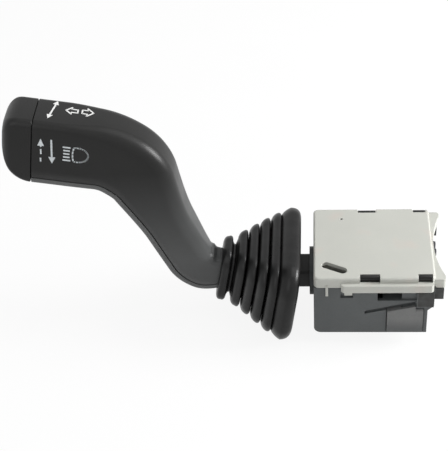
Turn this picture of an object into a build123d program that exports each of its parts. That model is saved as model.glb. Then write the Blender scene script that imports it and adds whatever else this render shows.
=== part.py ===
from build123d import *

import os
from itertools import pairwise
from math import ceil, cos, radians, sin, sqrt, tan

# Combination stalk switch of a steering column: lever, rubber gaiter and switch body.
# Millimetres. +Z is the column axis towards the driver, the lever points to -X.
# The turn axis is Z through the origin, and the body's base face is Z = 0.

# ---------------------------------------------------------------- driving dimensions
# Switch body
BODY_LENGTH = 51.2
BODY_DEPTH = 46.4
BODY_HEIGHT = 31.6
PIVOT_SETBACK = 12.0  # lever-side face of the body to the turn axis
COVER_DEPTH = 5.4  # body top down to the line where the cover meets the housing
WALL = 1.8
FLOOR = 2.0
BODY_EDGE = 3.0  # round between the lever-side wall and the base
END_STEP = 2.6  # the far end is set back by this much below the shoulder
SHOULDER_HEIGHT = 15.7
PART_GAP = 0.2  # gap along the parting line

# Top cover
COVER_THICKNESS = 1.8
COVER_CORNER = 2.2
COVER_EDGE = 0.9
WINDOW_SPANS = ((7.6, 16.0), (32.0, 38.0))  # X of the snap windows
WINDOW_DEPTH = 2.8  # how far a window cuts into the top plate
SNAP_GAP = 0.3
SNAP_SINK = 0.5  # top of a snap lug below the cover's top
SNAP_LEAD = 1.0  # chamfer the cover rides up
RAIL_PROUD = 2.0
RAIL_DROP = 2.7  # body top down to the rail
RAIL_HEIGHT = 3.7
RAIL_START = -0.4  # X of the rail's lever-side end
RAIL_END = 38.6
RAIL_FOOT_SPAN = (1.0, 4.3)
RAIL_FOOT_DROP = 1.7
RAIL_FOOT_SETBACK = 0.4
WING_REACH = 4.4  # how far the wing tips stand beyond the cover
WING_DROP = 1.6  # body top down to the wing tips
WING_HEIGHT = 4.6
WING_CORNER = 1.2
COLUMN_RADIUS = 54.0  # concave end that clears the steering column
COLUMN_GAP = 0.7  # material left beyond the cover where the arc is deepest
SLOT_CENTRE = (-3.2, -16.2)
SLOT_LENGTH = 11.6
SLOT_WIDTH = 3.9
SLOT_ANGLE = -26.0
PIN_HOLE = (0.4, 16.1)
PIN_HOLE_RADIUS = 0.55
TAB_X = -6.4
TAB_WIDTH = 1.1
TAB_DROP = 4.2
TAB_THICKNESS = 0.7

# Lever-side mouth of the housing
COLLAR_REACH = 1.8
COLLAR_WALL = 1.4
MOUTH_HALF_DEPTH = 8.8
MOUTH_HALF_HEIGHT = 6.2
MOUTH_CORNER = 3.0

# Motions
TURN_THROW = 8.0  # degrees each way about Z
DIP_THROW = 5.5  # degrees each way about the dip pin
RUN_GAP = 0.3  # free gap between pieces that move past each other
FIT_GAP = 0.05  # radial clearance of a journal in its bearing

# Carrier that turns about Z and carries the lever
CARRIER_FRONT = -8.6
CARRIER_BACK = 8.0
CARRIER_HALF_DEPTH = 10.0
CARRIER_BOTTOM = 5.2
CARRIER_CORNER = 1.6
CARRIER_HEADROOM = 2.4  # carrier to the underside of the cover
CHEEK = 3.2
JOURNAL_RADIUS = 2.5
JOURNAL_WALL = 1.6
BEARING_TOP = 3.0  # top of the housing's bearing for the lower journal
TAIL_END = 16.4
TAIL_HALF_DEPTH = 4.4
TAIL_HEIGHT = 8.4
FINGER_X = 14.6
FINGER_RADIUS = 1.2
FINGER_LIFT = 1.1  # the finger's lower end above the underside of the turn slider
TURN_BORE_DEPTH = 7.0
TRACK_THICKNESS = 3.4
TRACK_HALF_DEPTH = 6.0
TRACK_HEIGHT = 10.2

# Stem, dip pin and detents
STEM_AXIS_HEIGHT = 15.6
STEM_HALF_DEPTH = 6.4
STEM_HALF_HEIGHT = 4.9
STEM_CORNER = 1.6
STEM_ROOM = 1.2  # free height in the carrier, above and below the stem
DIP_PIN_X = -6.2
DIP_PIN_RADIUS = 1.5
DIP_PIN_CHAMFER = 0.2
STEM_END = 4.0  # X of the stem's inner end
STEM_TAIL_HALF_HEIGHT = 3.9
PLUNGER_RADIUS = 1.8
PLUNGER_LENGTH = 5.0
PLUNGER_PROUD = 1.8  # how far a plunger's tip stands out of its bore
DIP_BORE_DEPTH = 6.6
DETENT_LAND = 0.1  # gap from the plunger's tip to the land between two notches
DETENT_DEPTH = 0.2
SPRING_WIRE = 0.22  # half the side of the square wire
SPRING_RADIUS = 1.3
SPRING_TURNS = 3
SPRING_CHORDS = 10  # straight stretches in a turn
TOE_RADIUS = 1.0
DIP_SLIDER_BOTTOM = 3.4
DIP_SLIDER_TOP = 4.9
DIP_SLIDER_HALF_DEPTH = 7.5
DIP_SLIDER_CORNER = 1.0
DIP_SLIDER_SPAN = (-8.8, 9.2)
RIB_SPAN_Y = (5.0, 6.4)  # ribs that carry the dip slider
LEAF_THICKNESS = 0.3
LEAF_HALF_DEPTH = 5.0

# Contact side
BLOCK_START = 11.0
BLOCK_END_GAP = 0.4  # terminal block to the end wall of the housing
BLOCK_SPAN_Y = (-8.6, 12.4)
BLOCK_HEIGHT = 10.4
BLOCK_WALL = 1.4
BLOCK_ROOF = 1.6
BLADE_ROWS = (-3.4, 7.2)  # Y of the two rows of blades
BLADE_PITCH = 5.0
BLADE_COUNT = 4
BLADE_WIDTH = 2.8
BLADE_THICKNESS = 0.8
BLADE_DROP = 6.6
KEY_SPAN_Y = (1.2, 2.6)
KEY_PROUD = 0.7
KEY_START = 0.6
SOCKET_CORNER = 0.8
BOARD_THICKNESS = 1.6
CONTACT_THICKNESS = 0.4
SLIDER_HALF_LENGTH = 2.4
SLIDER_HALF_DEPTH = 7.0
SLIDER_HEIGHT = 3.0
GUIDE_WIDTH = 0.9
GUIDE_HEIGHT = 2.0
GUIDE_OVERHANG = 3.0  # how far the guides run past the turn slider
PAD_OFFSET = 1.2  # middle of the slider's track to the middle of a pad
PAD_WIDTH = 1.4
PAD_LENGTH = 3.6
PAD_PITCH = 6.0
BLADE_PAD_LENGTH = 2.4
SLIDER_CHAMFER = 1.0
FINGER_PLAY = 0.15
BRIDGE_INSET = 0.3
BRIDGE_END_GAP = 1.0
POST_RADIUS = 1.6
POST_INSET = 2.6
POST_OFFSET = 4.0

# Self-cancelling pawl behind the concave end
PAWL_PIVOT_SETBACK = 10.2  # far end of the body to the pivot
PAWL_PROUD = 1.8  # how far the nose stands beyond that end
PAWL_HALF_DEPTH = 4.4
PAWL_TAIL = 3.2
PAWL_NOTCH = 1.6
PAWL_NOTCH_DEPTH = 2.0
PAWL_NOSE = 3.0  # length of the nose's parallel stretch
PAWL_NOSE_CORNER = 1.2
PAWL_HEADROOM = 0.6
PAWL_THICKNESS = 2.6
PAWL_STUD_RADIUS = 1.5
PAWL_WINDOW_HALF = 7.4
PAWL_WINDOW_DROP = 1.1  # cover's lower edge down to the window's sill
CARRIAGE_REACH = (2.2, 3.4)  # behind and in front of the pivot
CARRIAGE_HALF_DEPTH = 6.6
CARRIAGE_HEIGHT = 3.9
CARRIAGE_CHAMFER = 0.8
GUIDE_SETBACKS = (17.0, 3.0)  # far end of the body to both ends of the channel
CHANNEL_WALL = 1.4

# Release latch on the front
LATCH_SPAN = (19.4, 34.8)
LATCH_FLAT = 3.4  # level stretch of its upper edge, behind a step
LATCH_LOW_TOP = 13.2
LATCH_HIGH_TOP = 16.2
LATCH_STEP = 2.2
LATCH_BOTTOM = 1.1
LATCH_THICKNESS = 2.4
LATCH_ROOM = 1.6  # free depth behind the latch
LATCH_PROUD = 1.0
LATCH_BEVEL = 0.9
LATCH_PIN_RADIUS = 0.8
LATCH_PIN_HEIGHT = 1.3  # above the latch's lower edge
LATCH_PIN_REACH = 1.3
ARM_SLOT_LEAD = 9.6  # how far the slot starts before the latch
ARM_SLOT_RISE = 2.6
ARM_SLOT_HEIGHT = 1.9
ARM_SLOT_DEPTH = 1.2

# Recesses and lugs at the rail
POCKET_SPAN = (15.1, 31.8)
POCKET_DROP = 2.6  # parting line down to the pocket
POCKET_HEIGHT = 4.7
POCKET_HOLE_END = 25.5  # the pocket goes through the wall up to here
FOOT_SLOT_SPAN = (-0.6, 4.8)
FOOT_SLOT_DROP = 3.2  # parting line down to the slot under the rail's foot
FOOT_SLOT_HEIGHT = 2.4
SHOULDER_BOTTOM = 15.6
SHOULDER_PROUD = 0.8
LUG_SETBACK = 0.6
LUG_INSET = 0.4
LUG_DEPTH = 4.6
LUG_HEIGHT = 5.8

# Lever
CAP_JOINT = (-126.1, 88.8)  # X, Z of the paddle's axis where the end cap starts
PADDLE_LENGTH = 39.4  # cap joint to the corner of the upper bend
SHANK_LENGTH = 67.8  # corner to corner
NECK_LENGTH = 14.6  # corner of the lower bend to the shell's end
PADDLE_TILT = 9.7
SHANK_TILT = 69.6
NECK_TILT = 6.2
UPPER_BEND = 24.4
LOWER_BEND = 13.2
PADDLE_HEIGHT = 30.9
SWELL_HEIGHT = 30.3
SHANK_HEIGHT = 20.3
END_HEIGHT = 16.2
PADDLE_DEPTH = 19.8
END_DEPTH = 11.6
LEVER_WALL = 2.0
STRIP_HEIGHT = 3.0
STRIP_GAP = 0.3
SWELL_SPAN = (0.12, 0.32)  # fractions of the path over which the section changes
WAIST_SPAN = (0.32, 0.66)
END_SPAN = (0.9, 0.965)
TAPER_SPAN = (0.54, 1.0)
CREST_SPAN = (0.5, 1.0)
CREST_LOSS = 0.5
INNER_CORNER = 0.6
CREST_RADIUS = 3.0
KEEL_RADIUS = 2.0
LIP_HEIGHT = 2.2
LIP_THICKNESS = 1.0
LIP_GAP = 0.25
BEND_STEPS = 8  # sections round each bend
RUN_STEP = 9.0  # longest stretch between sections elsewhere
CAP_LENGTH = 13.0
CAP_TOP_ROUND = 5.8
CAP_LOW_ROUND = 12.6
CAP_EDGE = 4.4
CAP_ANGLES = (16, 32, 47, 61, 73, 83)  # sections round the cap's nose
CAP_GAP = 0.35
CAP_SPIGOT = 3.5
TENON_CORNER = 0.8
CORNER_CHORDS = 4  # straight stretches round a corner
FLAT_ERROR = 1e-6  # a face is flat when its fourth corner is nearer to its plane
LEAST_FLAT = 0.5  # least straight stretch left beside a rounded corner
TAB_LENGTH = 5.0
TAB_STATIONS = (0.08, 0.2, 0.5, 0.62, 0.74)  # fractions of the path
TENON_START = 0.84  # fraction of the path where the stem's tenon starts
STEM_WAIST_X = -27.0  # from the body's lever side
STEM_NECK_X = -6.0
STEM_RISE = 0.8

# Gaiter
RING_COUNT = 6
FIRST_RING_X = -51.1
RING_PITCH = 4.8
END_RING_EXTRA = 1.6  # the first and the last ring stand this much further off
RING_HALF_DEPTH = 9.2
RING_DEPTH_STEP = 3.85
RING_HALF_HEIGHT = 14.2
RING_HEIGHT_STEP = 0.25
RING_CORNER = 7.0
RING_CORNER_STEP = 0.2
RING_TILT = 12.0
RING_RISE = 3.4  # how much higher the first ring's centre is than the flange's
RING_RISE_POWER = 1.6
FLANGE_CENTRE_HEIGHT = 13.6
RING_WIDTH = 4.0
RING_FLAT = 0.5  # share of a ring's width that is its level crown
RING_ROUND = 1.5  # how much lower a ring's edges are than its crown
GROOVE_DEPTH = 3.6
GROOVE_PLACE = 0.5  # a groove's place between two rings
LAST_GROOVE_PLACE = 0.35
GAITER_WALL = 1.1
CORNER_SHRINK = 0.6  # how fast a section's corner shrinks as the section drops
FLANGE_WIDTH = 6.8
CUFF_GRIP = 3.0  # how far the gaiter reaches over the shell's end

# ---------------------------------------------------------------- worked out
LEFT = -PIVOT_SETBACK
RIGHT = LEFT + BODY_LENGTH
HALF = BODY_DEPTH / 2
COVER_UNDERSIDE = BODY_HEIGHT - COVER_THICKNESS
PARTING_HEIGHT = BODY_HEIGHT - COVER_DEPTH
RAIL_TOP = BODY_HEIGHT - RAIL_DROP
RAIL_BOTTOM = RAIL_TOP - RAIL_HEIGHT
WING_TOP = BODY_HEIGHT - WING_DROP
WING_BOTTOM = WING_TOP - WING_HEIGHT
CARRIER_TOP = COVER_UNDERSIDE - CARRIER_HEADROOM
TAIL_BOTTOM = CARRIER_TOP - TAIL_HEIGHT
TURN_PLUNGER_HEIGHT = (TAIL_BOTTOM + CARRIER_TOP) / 2
TRACK_BOTTOM = COVER_UNDERSIDE - TRACK_HEIGHT
PAWL_PIVOT_X = RIGHT - PAWL_PIVOT_SETBACK
PAWL_TIP_X = RIGHT + PAWL_PROUD
CARRIAGE_SPAN = (PAWL_PIVOT_X - CARRIAGE_REACH[0], PAWL_PIVOT_X + CARRIAGE_REACH[1])
GUIDE_SPAN = (RIGHT - GUIDE_SETBACKS[0], RIGHT - GUIDE_SETBACKS[1])
PAWL_TOP = COVER_UNDERSIDE - PAWL_HEADROOM
PAWL_BOTTOM = PAWL_TOP - PAWL_THICKNESS
CARRIAGE_TOP = PAWL_BOTTOM - RUN_GAP
CARRIAGE_BOTTOM = CARRIAGE_TOP - CARRIAGE_HEIGHT
POCKET_TOP = PARTING_HEIGHT - POCKET_DROP
POCKET_BOTTOM = POCKET_TOP - POCKET_HEIGHT
FOOT_SLOT_TOP = PARTING_HEIGHT - FOOT_SLOT_DROP
FOOT_SLOT_HEIGHTS = (FOOT_SLOT_TOP - FOOT_SLOT_HEIGHT, FOOT_SLOT_TOP)
LUG_BOTTOM = WING_BOTTOM - PART_GAP - LUG_HEIGHT
COVER_SKIRT = PARTING_HEIGHT + PART_GAP
INNER_HALF = HALF - WALL
LOW_RIGHT = RIGHT - END_STEP
BLOCK_SPAN_X = (BLOCK_START, LOW_RIGHT - WALL - BLOCK_END_GAP)
BOARD_BOTTOM = BLOCK_HEIGHT
BOARD_TOP = BOARD_BOTTOM + BOARD_THICKNESS
CONTACT_TOP = BOARD_TOP + CONTACT_THICKNESS
SLIDER_BOTTOM = CONTACT_TOP + RUN_GAP
WINDOW_HALF_HEIGHT = STEM_HALF_HEIGHT + STEM_ROOM
PAWL_WINDOW_Y = (-PAWL_WINDOW_HALF, PAWL_WINDOW_HALF)
PAWL_WINDOW_Z = (COVER_SKIRT - PAWL_WINDOW_DROP, PAWL_TOP + RUN_GAP)
LUG_INNER = HALF - LUG_DEPTH
TURN_REACH = TAIL_END + PLUNGER_PROUD  # turn axis to the turn plunger's tip
DIP_REACH = STEM_END + PLUNGER_PROUD - DIP_PIN_X  # dip pin to the dip plunger's tip
DIP_ARM = STEM_AXIS_HEIGHT - (DIP_SLIDER_BOTTOM + DIP_SLIDER_TOP) / 2
LATCH_PIN_Y = -HALF + LATCH_THICKNESS / 2
LATCH_PIN_Z = LATCH_BOTTOM + LATCH_PIN_HEIGHT


ON_BASE = (Align.CENTER, Align.CENTER, Align.MIN)


def box(x, y, z):
    """Box between the given spans of X, Y and Z."""
    size = [span[1] - span[0] for span in (x, y, z)]
    middle = [(span[0] + span[1]) / 2 for span in (x, y, z)]
    return Pos(*middle) * Box(*size)


def rod(radius, start, end):
    """Round rod from one point to another."""
    axis = Vector(*end) - Vector(*start)
    return extrude(Plane(start, z_dir=axis) * Circle(radius), axis.length)


def side_slab(points, y):
    """Outline of X, Z points made solid over a span of Y."""
    face = make_face(Polyline(*[(px, 0, pz) for px, pz in points], close=True))
    return Pos(0, y[0], 0) * extrude(face, y[1] - y[0], dir=(0, 1, 0))


def top_plate(points, z):
    """Outline of X, Y points made solid over a span of Z."""
    face = make_face(Polyline(*points, close=True))
    return Pos(0, 0, z[0]) * extrude(face, z[1] - z[0], dir=(0, 0, 1))


def rounded_bar(x, width, height, corner, middle=(0, 0)):
    """Bar along X with rounded long edges; width is in Y, height in Z, middle is its Y and Z."""
    plane = Plane((x[0], *middle), x_dir=(0, 1, 0), z_dir=(1, 0, 0))
    return extrude(plane * RectangleRounded(width, height, corner), x[1] - x[0])


def both_sides(shape):
    """The shape and its mirror image across the XZ plane."""
    return shape + mirror(shape, Plane.XZ)


def together(*shapes):
    """Separate solids kept as one group."""
    return Compound(children=[solid for shape in shapes for solid in shape.solids()])


def write(name, shape):
    """Writes one sub-part."""
    export_step(shape, f"parts/{name}.step")


# ---------------------------------------------------------------- switch body
def tray(inset, bottom, top):
    """Block with the housing's side outline, moved inwards by inset."""
    left, right, low = LEFT + inset, RIGHT - inset, LOW_RIGHT - inset
    shoulder = SHOULDER_HEIGHT + inset
    points = [
        (left, bottom),
        (low, bottom),
        (low, shoulder - END_STEP),
        (right, shoulder),
        (right, top),
        (left, top),
    ]
    block = side_slab(points, (-HALF + inset, HALF - inset))
    lever_edge = block.edges().filter_by(Axis.Y).sort_by(Axis.Z)[:2].sort_by(Axis.X)[0]
    return fillet(lever_edge, BODY_EDGE - inset)


def mouth(grow, x):
    """Rounded opening for the stem, grown by a margin."""
    width, height = 2 * (MOUTH_HALF_DEPTH + grow), 2 * (MOUTH_HALF_HEIGHT + grow)
    return rounded_bar(x, width, height, MOUTH_CORNER + grow, (0, STEM_AXIS_HEIGHT))


def snap_lugs():
    """Catches on the long walls, which fill the cover's snap windows."""
    lugs = []
    for start, end in WINDOW_SPANS:
        y = (HALF - WINDOW_DEPTH + SNAP_GAP, HALF - WALL / 2 - SNAP_GAP)
        lug = box((start + SNAP_GAP, end - SNAP_GAP), y, (PARTING_HEIGHT - 1, BODY_HEIGHT - SNAP_SINK))
        outer_edge = lug.edges().filter_by(Axis.X).group_by(Axis.Z)[-1].sort_by(Axis.Y)[-1]
        lugs.append(both_sides(chamfer(outer_edge, SNAP_LEAD)))
    return lugs


def latch_outline(grow):
    """Outline of the release latch, grown by a margin: its upper edge rises up to a step."""
    start, end = LATCH_SPAN[0] - grow, LATCH_SPAN[1] + grow
    return [
        (start, LATCH_BOTTOM - grow),
        (end, LATCH_BOTTOM - grow),
        (end, LATCH_HIGH_TOP - LATCH_STEP + grow),
        (end - LATCH_FLAT, LATCH_HIGH_TOP - LATCH_STEP + grow),
        (end - LATCH_FLAT, LATCH_HIGH_TOP + grow),
        (start, LATCH_LOW_TOP + grow),
    ]


def latch_bay():
    """Thick stretch of the front wall around the latch's pocket."""
    floor_y = -HALF + LATCH_THICKNESS + LATCH_ROOM
    outer = (LATCH_SPAN[0] - WALL, LOW_RIGHT - WALL / 2)
    return box(outer, (-HALF, floor_y + WALL), (0, LATCH_HIGH_TOP + ARM_SLOT_RISE))


def arm_slot():
    """Slanted groove in the front wall above the latch."""
    slope = (LATCH_HIGH_TOP - LATCH_LOW_TOP) / (LATCH_SPAN[1] - LATCH_FLAT - LATCH_SPAN[0])
    start, end = LATCH_SPAN[0] - ARM_SLOT_LEAD, LATCH_SPAN[1] - LATCH_FLAT
    low = LATCH_HIGH_TOP + RUN_GAP - slope * (end - start)
    points = [
        (start, low),
        (end, LATCH_HIGH_TOP + RUN_GAP),
        (end, LATCH_HIGH_TOP + RUN_GAP + ARM_SLOT_HEIGHT),
        (start, low + ARM_SLOT_HEIGHT),
    ]
    return side_slab(points, (-HALF - 1, -HALF + ARM_SLOT_DEPTH))


def column_lug():
    """Lug at a corner of the far end, which carries the cover's wing."""
    tip = RIGHT + WING_REACH - LUG_SETBACK
    lug = box((RIGHT - WALL, tip), (LUG_INNER, HALF - LUG_INSET), (LUG_BOTTOM, WING_BOTTOM - PART_GAP))
    return both_sides(lug)


def lower_housing():
    """Dark tray with the stem's collar, the carrier's bearing and the latch bay."""
    body = tray(0, 0, PARTING_HEIGHT) - tray(WALL, FLOOR, PARTING_HEIGHT + 1)
    body += latch_bay()
    pocket = (-HALF - 1, -HALF + LATCH_THICKNESS + LATCH_ROOM)
    body -= side_slab(latch_outline(RUN_GAP), pocket)
    body -= arm_slot()
    body += mouth(COLLAR_WALL, (LEFT - COLLAR_REACH, LEFT + WALL))
    body -= mouth(0, (LEFT - COLLAR_REACH - 1, LEFT + WALL + 1))
    for lugs in snap_lugs():
        body += lugs
    body += column_lug()
    bore = JOURNAL_RADIUS + FIT_GAP
    body += rod(bore + JOURNAL_WALL, (0, 0, FLOOR / 2), (0, 0, BEARING_TOP))
    body -= rod(bore, (0, 0, FLOOR / 2), (0, 0, CARRIER_BOTTOM))
    rib_x = (LEFT + WALL, BLOCK_SPAN_X[0] - WALL)
    body += both_sides(box(rib_x, RIB_SPAN_Y, (FLOOR / 2, DIP_SLIDER_BOTTOM - FIT_GAP)))
    body -= box(BLOCK_SPAN_X, BLOCK_SPAN_Y, (-1, FLOOR + 1))
    body -= box(POCKET_SPAN, (-HALF - 1, -HALF + WALL / 2), (POCKET_BOTTOM, POCKET_TOP))
    through = (POCKET_SPAN[0], POCKET_HOLE_END)
    body -= box(through, (-HALF - 1, -HALF + WALL + 1), (POCKET_BOTTOM, POCKET_TOP))
    body -= box(FOOT_SLOT_SPAN, (-HALF - 1, -HALF + WALL / 2), FOOT_SLOT_HEIGHTS)
    shoulder = (POCKET_SPAN[1], RIGHT - PART_GAP)
    body += box(shoulder, (-HALF - SHOULDER_PROUD, -HALF + WALL), (SHOULDER_BOTTOM, POCKET_TOP))
    for x in (BLOCK_SPAN_X[0] + POST_INSET, BLOCK_SPAN_X[1] - POST_INSET):
        for y in (BLOCK_SPAN_Y[0] - POST_OFFSET, BLOCK_SPAN_Y[1] + POST_OFFSET):
            body += rod(POST_RADIUS, (x, y, FLOOR / 2), (x, y, BOARD_BOTTOM))
    body -= rod(LATCH_PIN_RADIUS + FIT_GAP, *latch_pin_ends(FIT_GAP))
    return body


def latch_pin_ends(extra):
    """Ends of the latch's hinge pin line, each moved outwards by extra."""
    reach = LATCH_PIN_REACH + extra
    start, end = LATCH_SPAN[0] - reach, LATCH_SPAN[1] + reach
    return (start, LATCH_PIN_Y, LATCH_PIN_Z), (end, LATCH_PIN_Y, LATCH_PIN_Z)


def cover_shell():
    """Plain cover: top plate with skirt, rounded outer edges and a concave far end."""
    body = box((LEFT, RIGHT), (-HALF, HALF), (COVER_SKIRT, BODY_HEIGHT))
    body = fillet(body.edges().filter_by(Axis.Z), COVER_CORNER)
    body = fillet(body.faces().sort_by(Axis.Z)[-1].edges(), COVER_EDGE)
    hollow = (COVER_SKIRT - 1, COVER_UNDERSIDE)
    inner = box((LEFT + WALL, RIGHT - WALL), (-INNER_HALF, INNER_HALF), hollow)
    return body - inner


def wings():
    """Two wing tips beyond the far end, which hug the steering column."""
    block = box((RIGHT - WALL, RIGHT + WING_REACH), (-HALF + 1, HALF - 1), (WING_BOTTOM, WING_TOP))
    block = fillet(block.edges().filter_by(Axis.Z).sort_by(Axis.X)[-2:], WING_CORNER)
    centre = RIGHT + COLUMN_GAP + COLUMN_RADIUS
    return block - Pos(centre, 0, BODY_HEIGHT / 2) * Cylinder(COLUMN_RADIUS, 2 * BODY_HEIGHT)


def rails():
    """Guide rails on both long sides, each with a small foot."""
    y = (HALF - WALL / 2, HALF + RAIL_PROUD)
    rail = box((RAIL_START, RAIL_END), y, (RAIL_BOTTOM, RAIL_TOP))
    rail = chamfer(rail.edges().filter_by(Axis.Z).sort_by(Axis.Y)[-2:], RAIL_PROUD / 2)
    foot_y = (HALF + PART_GAP, HALF + RAIL_PROUD - RAIL_FOOT_SETBACK)
    rail += box(RAIL_FOOT_SPAN, foot_y, (RAIL_BOTTOM - RAIL_FOOT_DROP, RAIL_BOTTOM + 1))
    return both_sides(rail)


def top_cover():
    """Light grey cover with snap windows, guide rails, wings, slot and pin hole."""
    body = cover_shell() + wings() + rails()
    clear = HALF + PART_GAP
    body -= box((LEFT - 1, RIGHT + PART_GAP), (-clear, clear), (0, COVER_SKIRT))
    for start, end in WINDOW_SPANS:
        y = (HALF - WINDOW_DEPTH, HALF)
        body -= both_sides(box((start, end), y, (RAIL_TOP, BODY_HEIGHT + 1)))
        body -= both_sides(box((start, end), (y[0], y[1] - WALL / 2), (COVER_SKIRT - 1, RAIL_TOP + 1)))
    slot = SlotOverall(SLOT_LENGTH, SLOT_WIDTH, rotation=SLOT_ANGLE)
    body -= Pos(*SLOT_CENTRE, COVER_UNDERSIDE - 1) * extrude(slot, COVER_THICKNESS + 2)
    body -= rod(PIN_HOLE_RADIUS, (*PIN_HOLE, COVER_UNDERSIDE - 1), (*PIN_HOLE, BODY_HEIGHT + 1))
    bore = JOURNAL_RADIUS + FIT_GAP
    boss_bottom = (0, 0, CARRIER_TOP + RUN_GAP)
    body += rod(bore + JOURNAL_WALL, boss_bottom, (0, 0, COVER_UNDERSIDE))
    body -= rod(bore, boss_bottom, (0, 0, COVER_UNDERSIDE))
    tab_y = (-HALF - TAB_THICKNESS, -HALF + WALL / 2)
    body += box((TAB_X - TAB_WIDTH / 2, TAB_X + TAB_WIDTH / 2), tab_y, (COVER_SKIRT, COVER_SKIRT + 1))
    tab_y = (-HALF - TAB_THICKNESS, -HALF - PART_GAP)
    drop = (COVER_SKIRT - TAB_DROP, COVER_SKIRT + 1)
    body += box((TAB_X - TAB_WIDTH / 2, TAB_X + TAB_WIDTH / 2), tab_y, drop)
    body -= box((RIGHT - WALL - 1, RIGHT + WING_REACH), PAWL_WINDOW_Y, PAWL_WINDOW_Z)
    return body


def release_latch():
    """Sprung catch in the front wall, with its two pins and a sloping face."""
    y = (-HALF - LATCH_PROUD, -HALF + LATCH_THICKNESS)
    body = side_slab(latch_outline(0), y)
    front_top = body.edges().group_by(Axis.Y)[0].filter_by(Axis.X).sort_by(Axis.Z)[-1]
    body = chamfer(front_top, LATCH_BEVEL)
    return body + rod(LATCH_PIN_RADIUS, *latch_pin_ends(0))


# ---------------------------------------------------------------- carrier and detents
def notched_track(reach, angles):
    """What a plunger's track leaves free in its own XY plane: a disc with notches at the angles."""
    free = Circle(reach + DETENT_LAND)
    notch = PLUNGER_RADIUS + 2 * DETENT_DEPTH
    centre = reach + DETENT_LAND + DETENT_DEPTH - notch
    for angle in angles:
        free += Rot(0, 0, angle) * Pos(centre, 0) * Circle(notch)
    return free


def turn_carrier():
    """Yoke on two journals that turns in the body and holds the lever's stem."""
    y = (-CARRIER_HALF_DEPTH, CARRIER_HALF_DEPTH)
    body = box((CARRIER_FRONT, CARRIER_BACK), y, (CARRIER_BOTTOM, CARRIER_TOP))
    body = fillet(body.edges().filter_by(Axis.Z), CARRIER_CORNER)
    tail_y = (-TAIL_HALF_DEPTH, TAIL_HALF_DEPTH)
    body += box((CARRIER_BACK - 1, TAIL_END), tail_y, (TAIL_BOTTOM, CARRIER_TOP))
    half = CARRIER_HALF_DEPTH - CHEEK
    low, high = STEM_AXIS_HEIGHT - WINDOW_HALF_HEIGHT, STEM_AXIS_HEIGHT + WINDOW_HALF_HEIGHT
    body -= box((CARRIER_FRONT - 1, STEM_END), (-half, half), (low, high))
    dip_plane = Plane((DIP_PIN_X, half, STEM_AXIS_HEIGHT), x_dir=(1, 0, 0), z_dir=(0, -1, 0))
    track = extrude(dip_plane * notched_track(DIP_REACH, (0, DIP_THROW)), 2 * half)
    body -= track & box((STEM_END - 1, CARRIER_BACK), (-half, half), (low, high))
    toe_room = TOE_RADIUS + DIP_ARM * tan(radians(DIP_THROW)) + RUN_GAP
    toe_y = TOE_RADIUS + RUN_GAP
    body -= box((CARRIER_FRONT - 1, DIP_PIN_X + toe_room), (-toe_y, toe_y), (0, low + 1))
    body += rod(JOURNAL_RADIUS, (0, 0, FLOOR / 2 + RUN_GAP), (0, 0, CARRIER_BOTTOM))
    body += rod(JOURNAL_RADIUS, (0, 0, CARRIER_TOP), (0, 0, COVER_UNDERSIDE - RUN_GAP))
    bore_start = (TAIL_END - TURN_BORE_DEPTH, 0, TURN_PLUNGER_HEIGHT)
    body -= rod(PLUNGER_RADIUS + FIT_GAP, bore_start, (TAIL_END + 1, 0, TURN_PLUNGER_HEIGHT))
    finger_bottom = (FINGER_X, 0, SLIDER_BOTTOM + FINGER_LIFT)
    body += rod(FINGER_RADIUS, finger_bottom, (FINGER_X, 0, TAIL_BOTTOM + 1))
    reach = CARRIER_HALF_DEPTH + 1
    ends = [(DIP_PIN_X, end, STEM_AXIS_HEIGHT) for end in (-reach, reach)]
    return body - rod(DIP_PIN_RADIUS, *ends)


def dip_pin():
    """Steel pin through both cheeks of the carrier."""
    reach = CARRIER_HALF_DEPTH - FIT_GAP
    ends = [(DIP_PIN_X, end, STEM_AXIS_HEIGHT) for end in (-reach, reach)]
    return chamfer(rod(DIP_PIN_RADIUS, *ends).edges(), DIP_PIN_CHAMFER)


def plunger(bore_mouth, height):
    """Detent plunger that points along +X, with a ball end, standing out of its bore."""
    tip = bore_mouth + PLUNGER_PROUD
    centre = (tip - PLUNGER_RADIUS, 0, height)
    body = rod(PLUNGER_RADIUS, (tip - PLUNGER_LENGTH, 0, height), centre)
    return body + Pos(*centre) * Sphere(PLUNGER_RADIUS)


def spring(start, end, height):
    """Coil spring along X between two seats."""
    gap = 2 * SPRING_WIRE + FIT_GAP
    length = end - start - 2 * gap
    count = SPRING_TURNS * SPRING_CHORDS
    rings = []
    for step in range(count + 1):
        x = start + gap + length * step / count
        angle = radians(360 * step / SPRING_CHORDS)
        out = Vector(0, cos(angle), sin(angle))
        middle = Vector(x, 0, height) + out * SPRING_RADIUS
        wire = [(-1, -1), (1, -1), (1, 1), (-1, 1)]
        rings.append([middle + (Vector(i, 0, 0) + out * j) * SPRING_WIRE for i, j in wire])
    return skin(rings)


def turn_detent_track():
    """Notched track under the cover, for the turn plunger."""
    start = TURN_REACH - 1.0
    x = (start, start + TRACK_THICKNESS + 1.0)
    y = (-TRACK_HALF_DEPTH, TRACK_HALF_DEPTH)
    body = box(x, y, (TRACK_BOTTOM, COVER_UNDERSIDE))
    free = extrude(notched_track(TURN_REACH, (-TURN_THROW, 0, TURN_THROW)), BODY_HEIGHT)
    return body - free


# ---------------------------------------------------------------- contact side
def blade_places():
    """X and Y of each terminal blade."""
    first = (BLOCK_SPAN_X[0] + BLOCK_SPAN_X[1] - BLADE_PITCH * (BLADE_COUNT - 1)) / 2
    return [(first + i * BLADE_PITCH, y) for y in BLADE_ROWS for i in range(BLADE_COUNT)]


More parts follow.
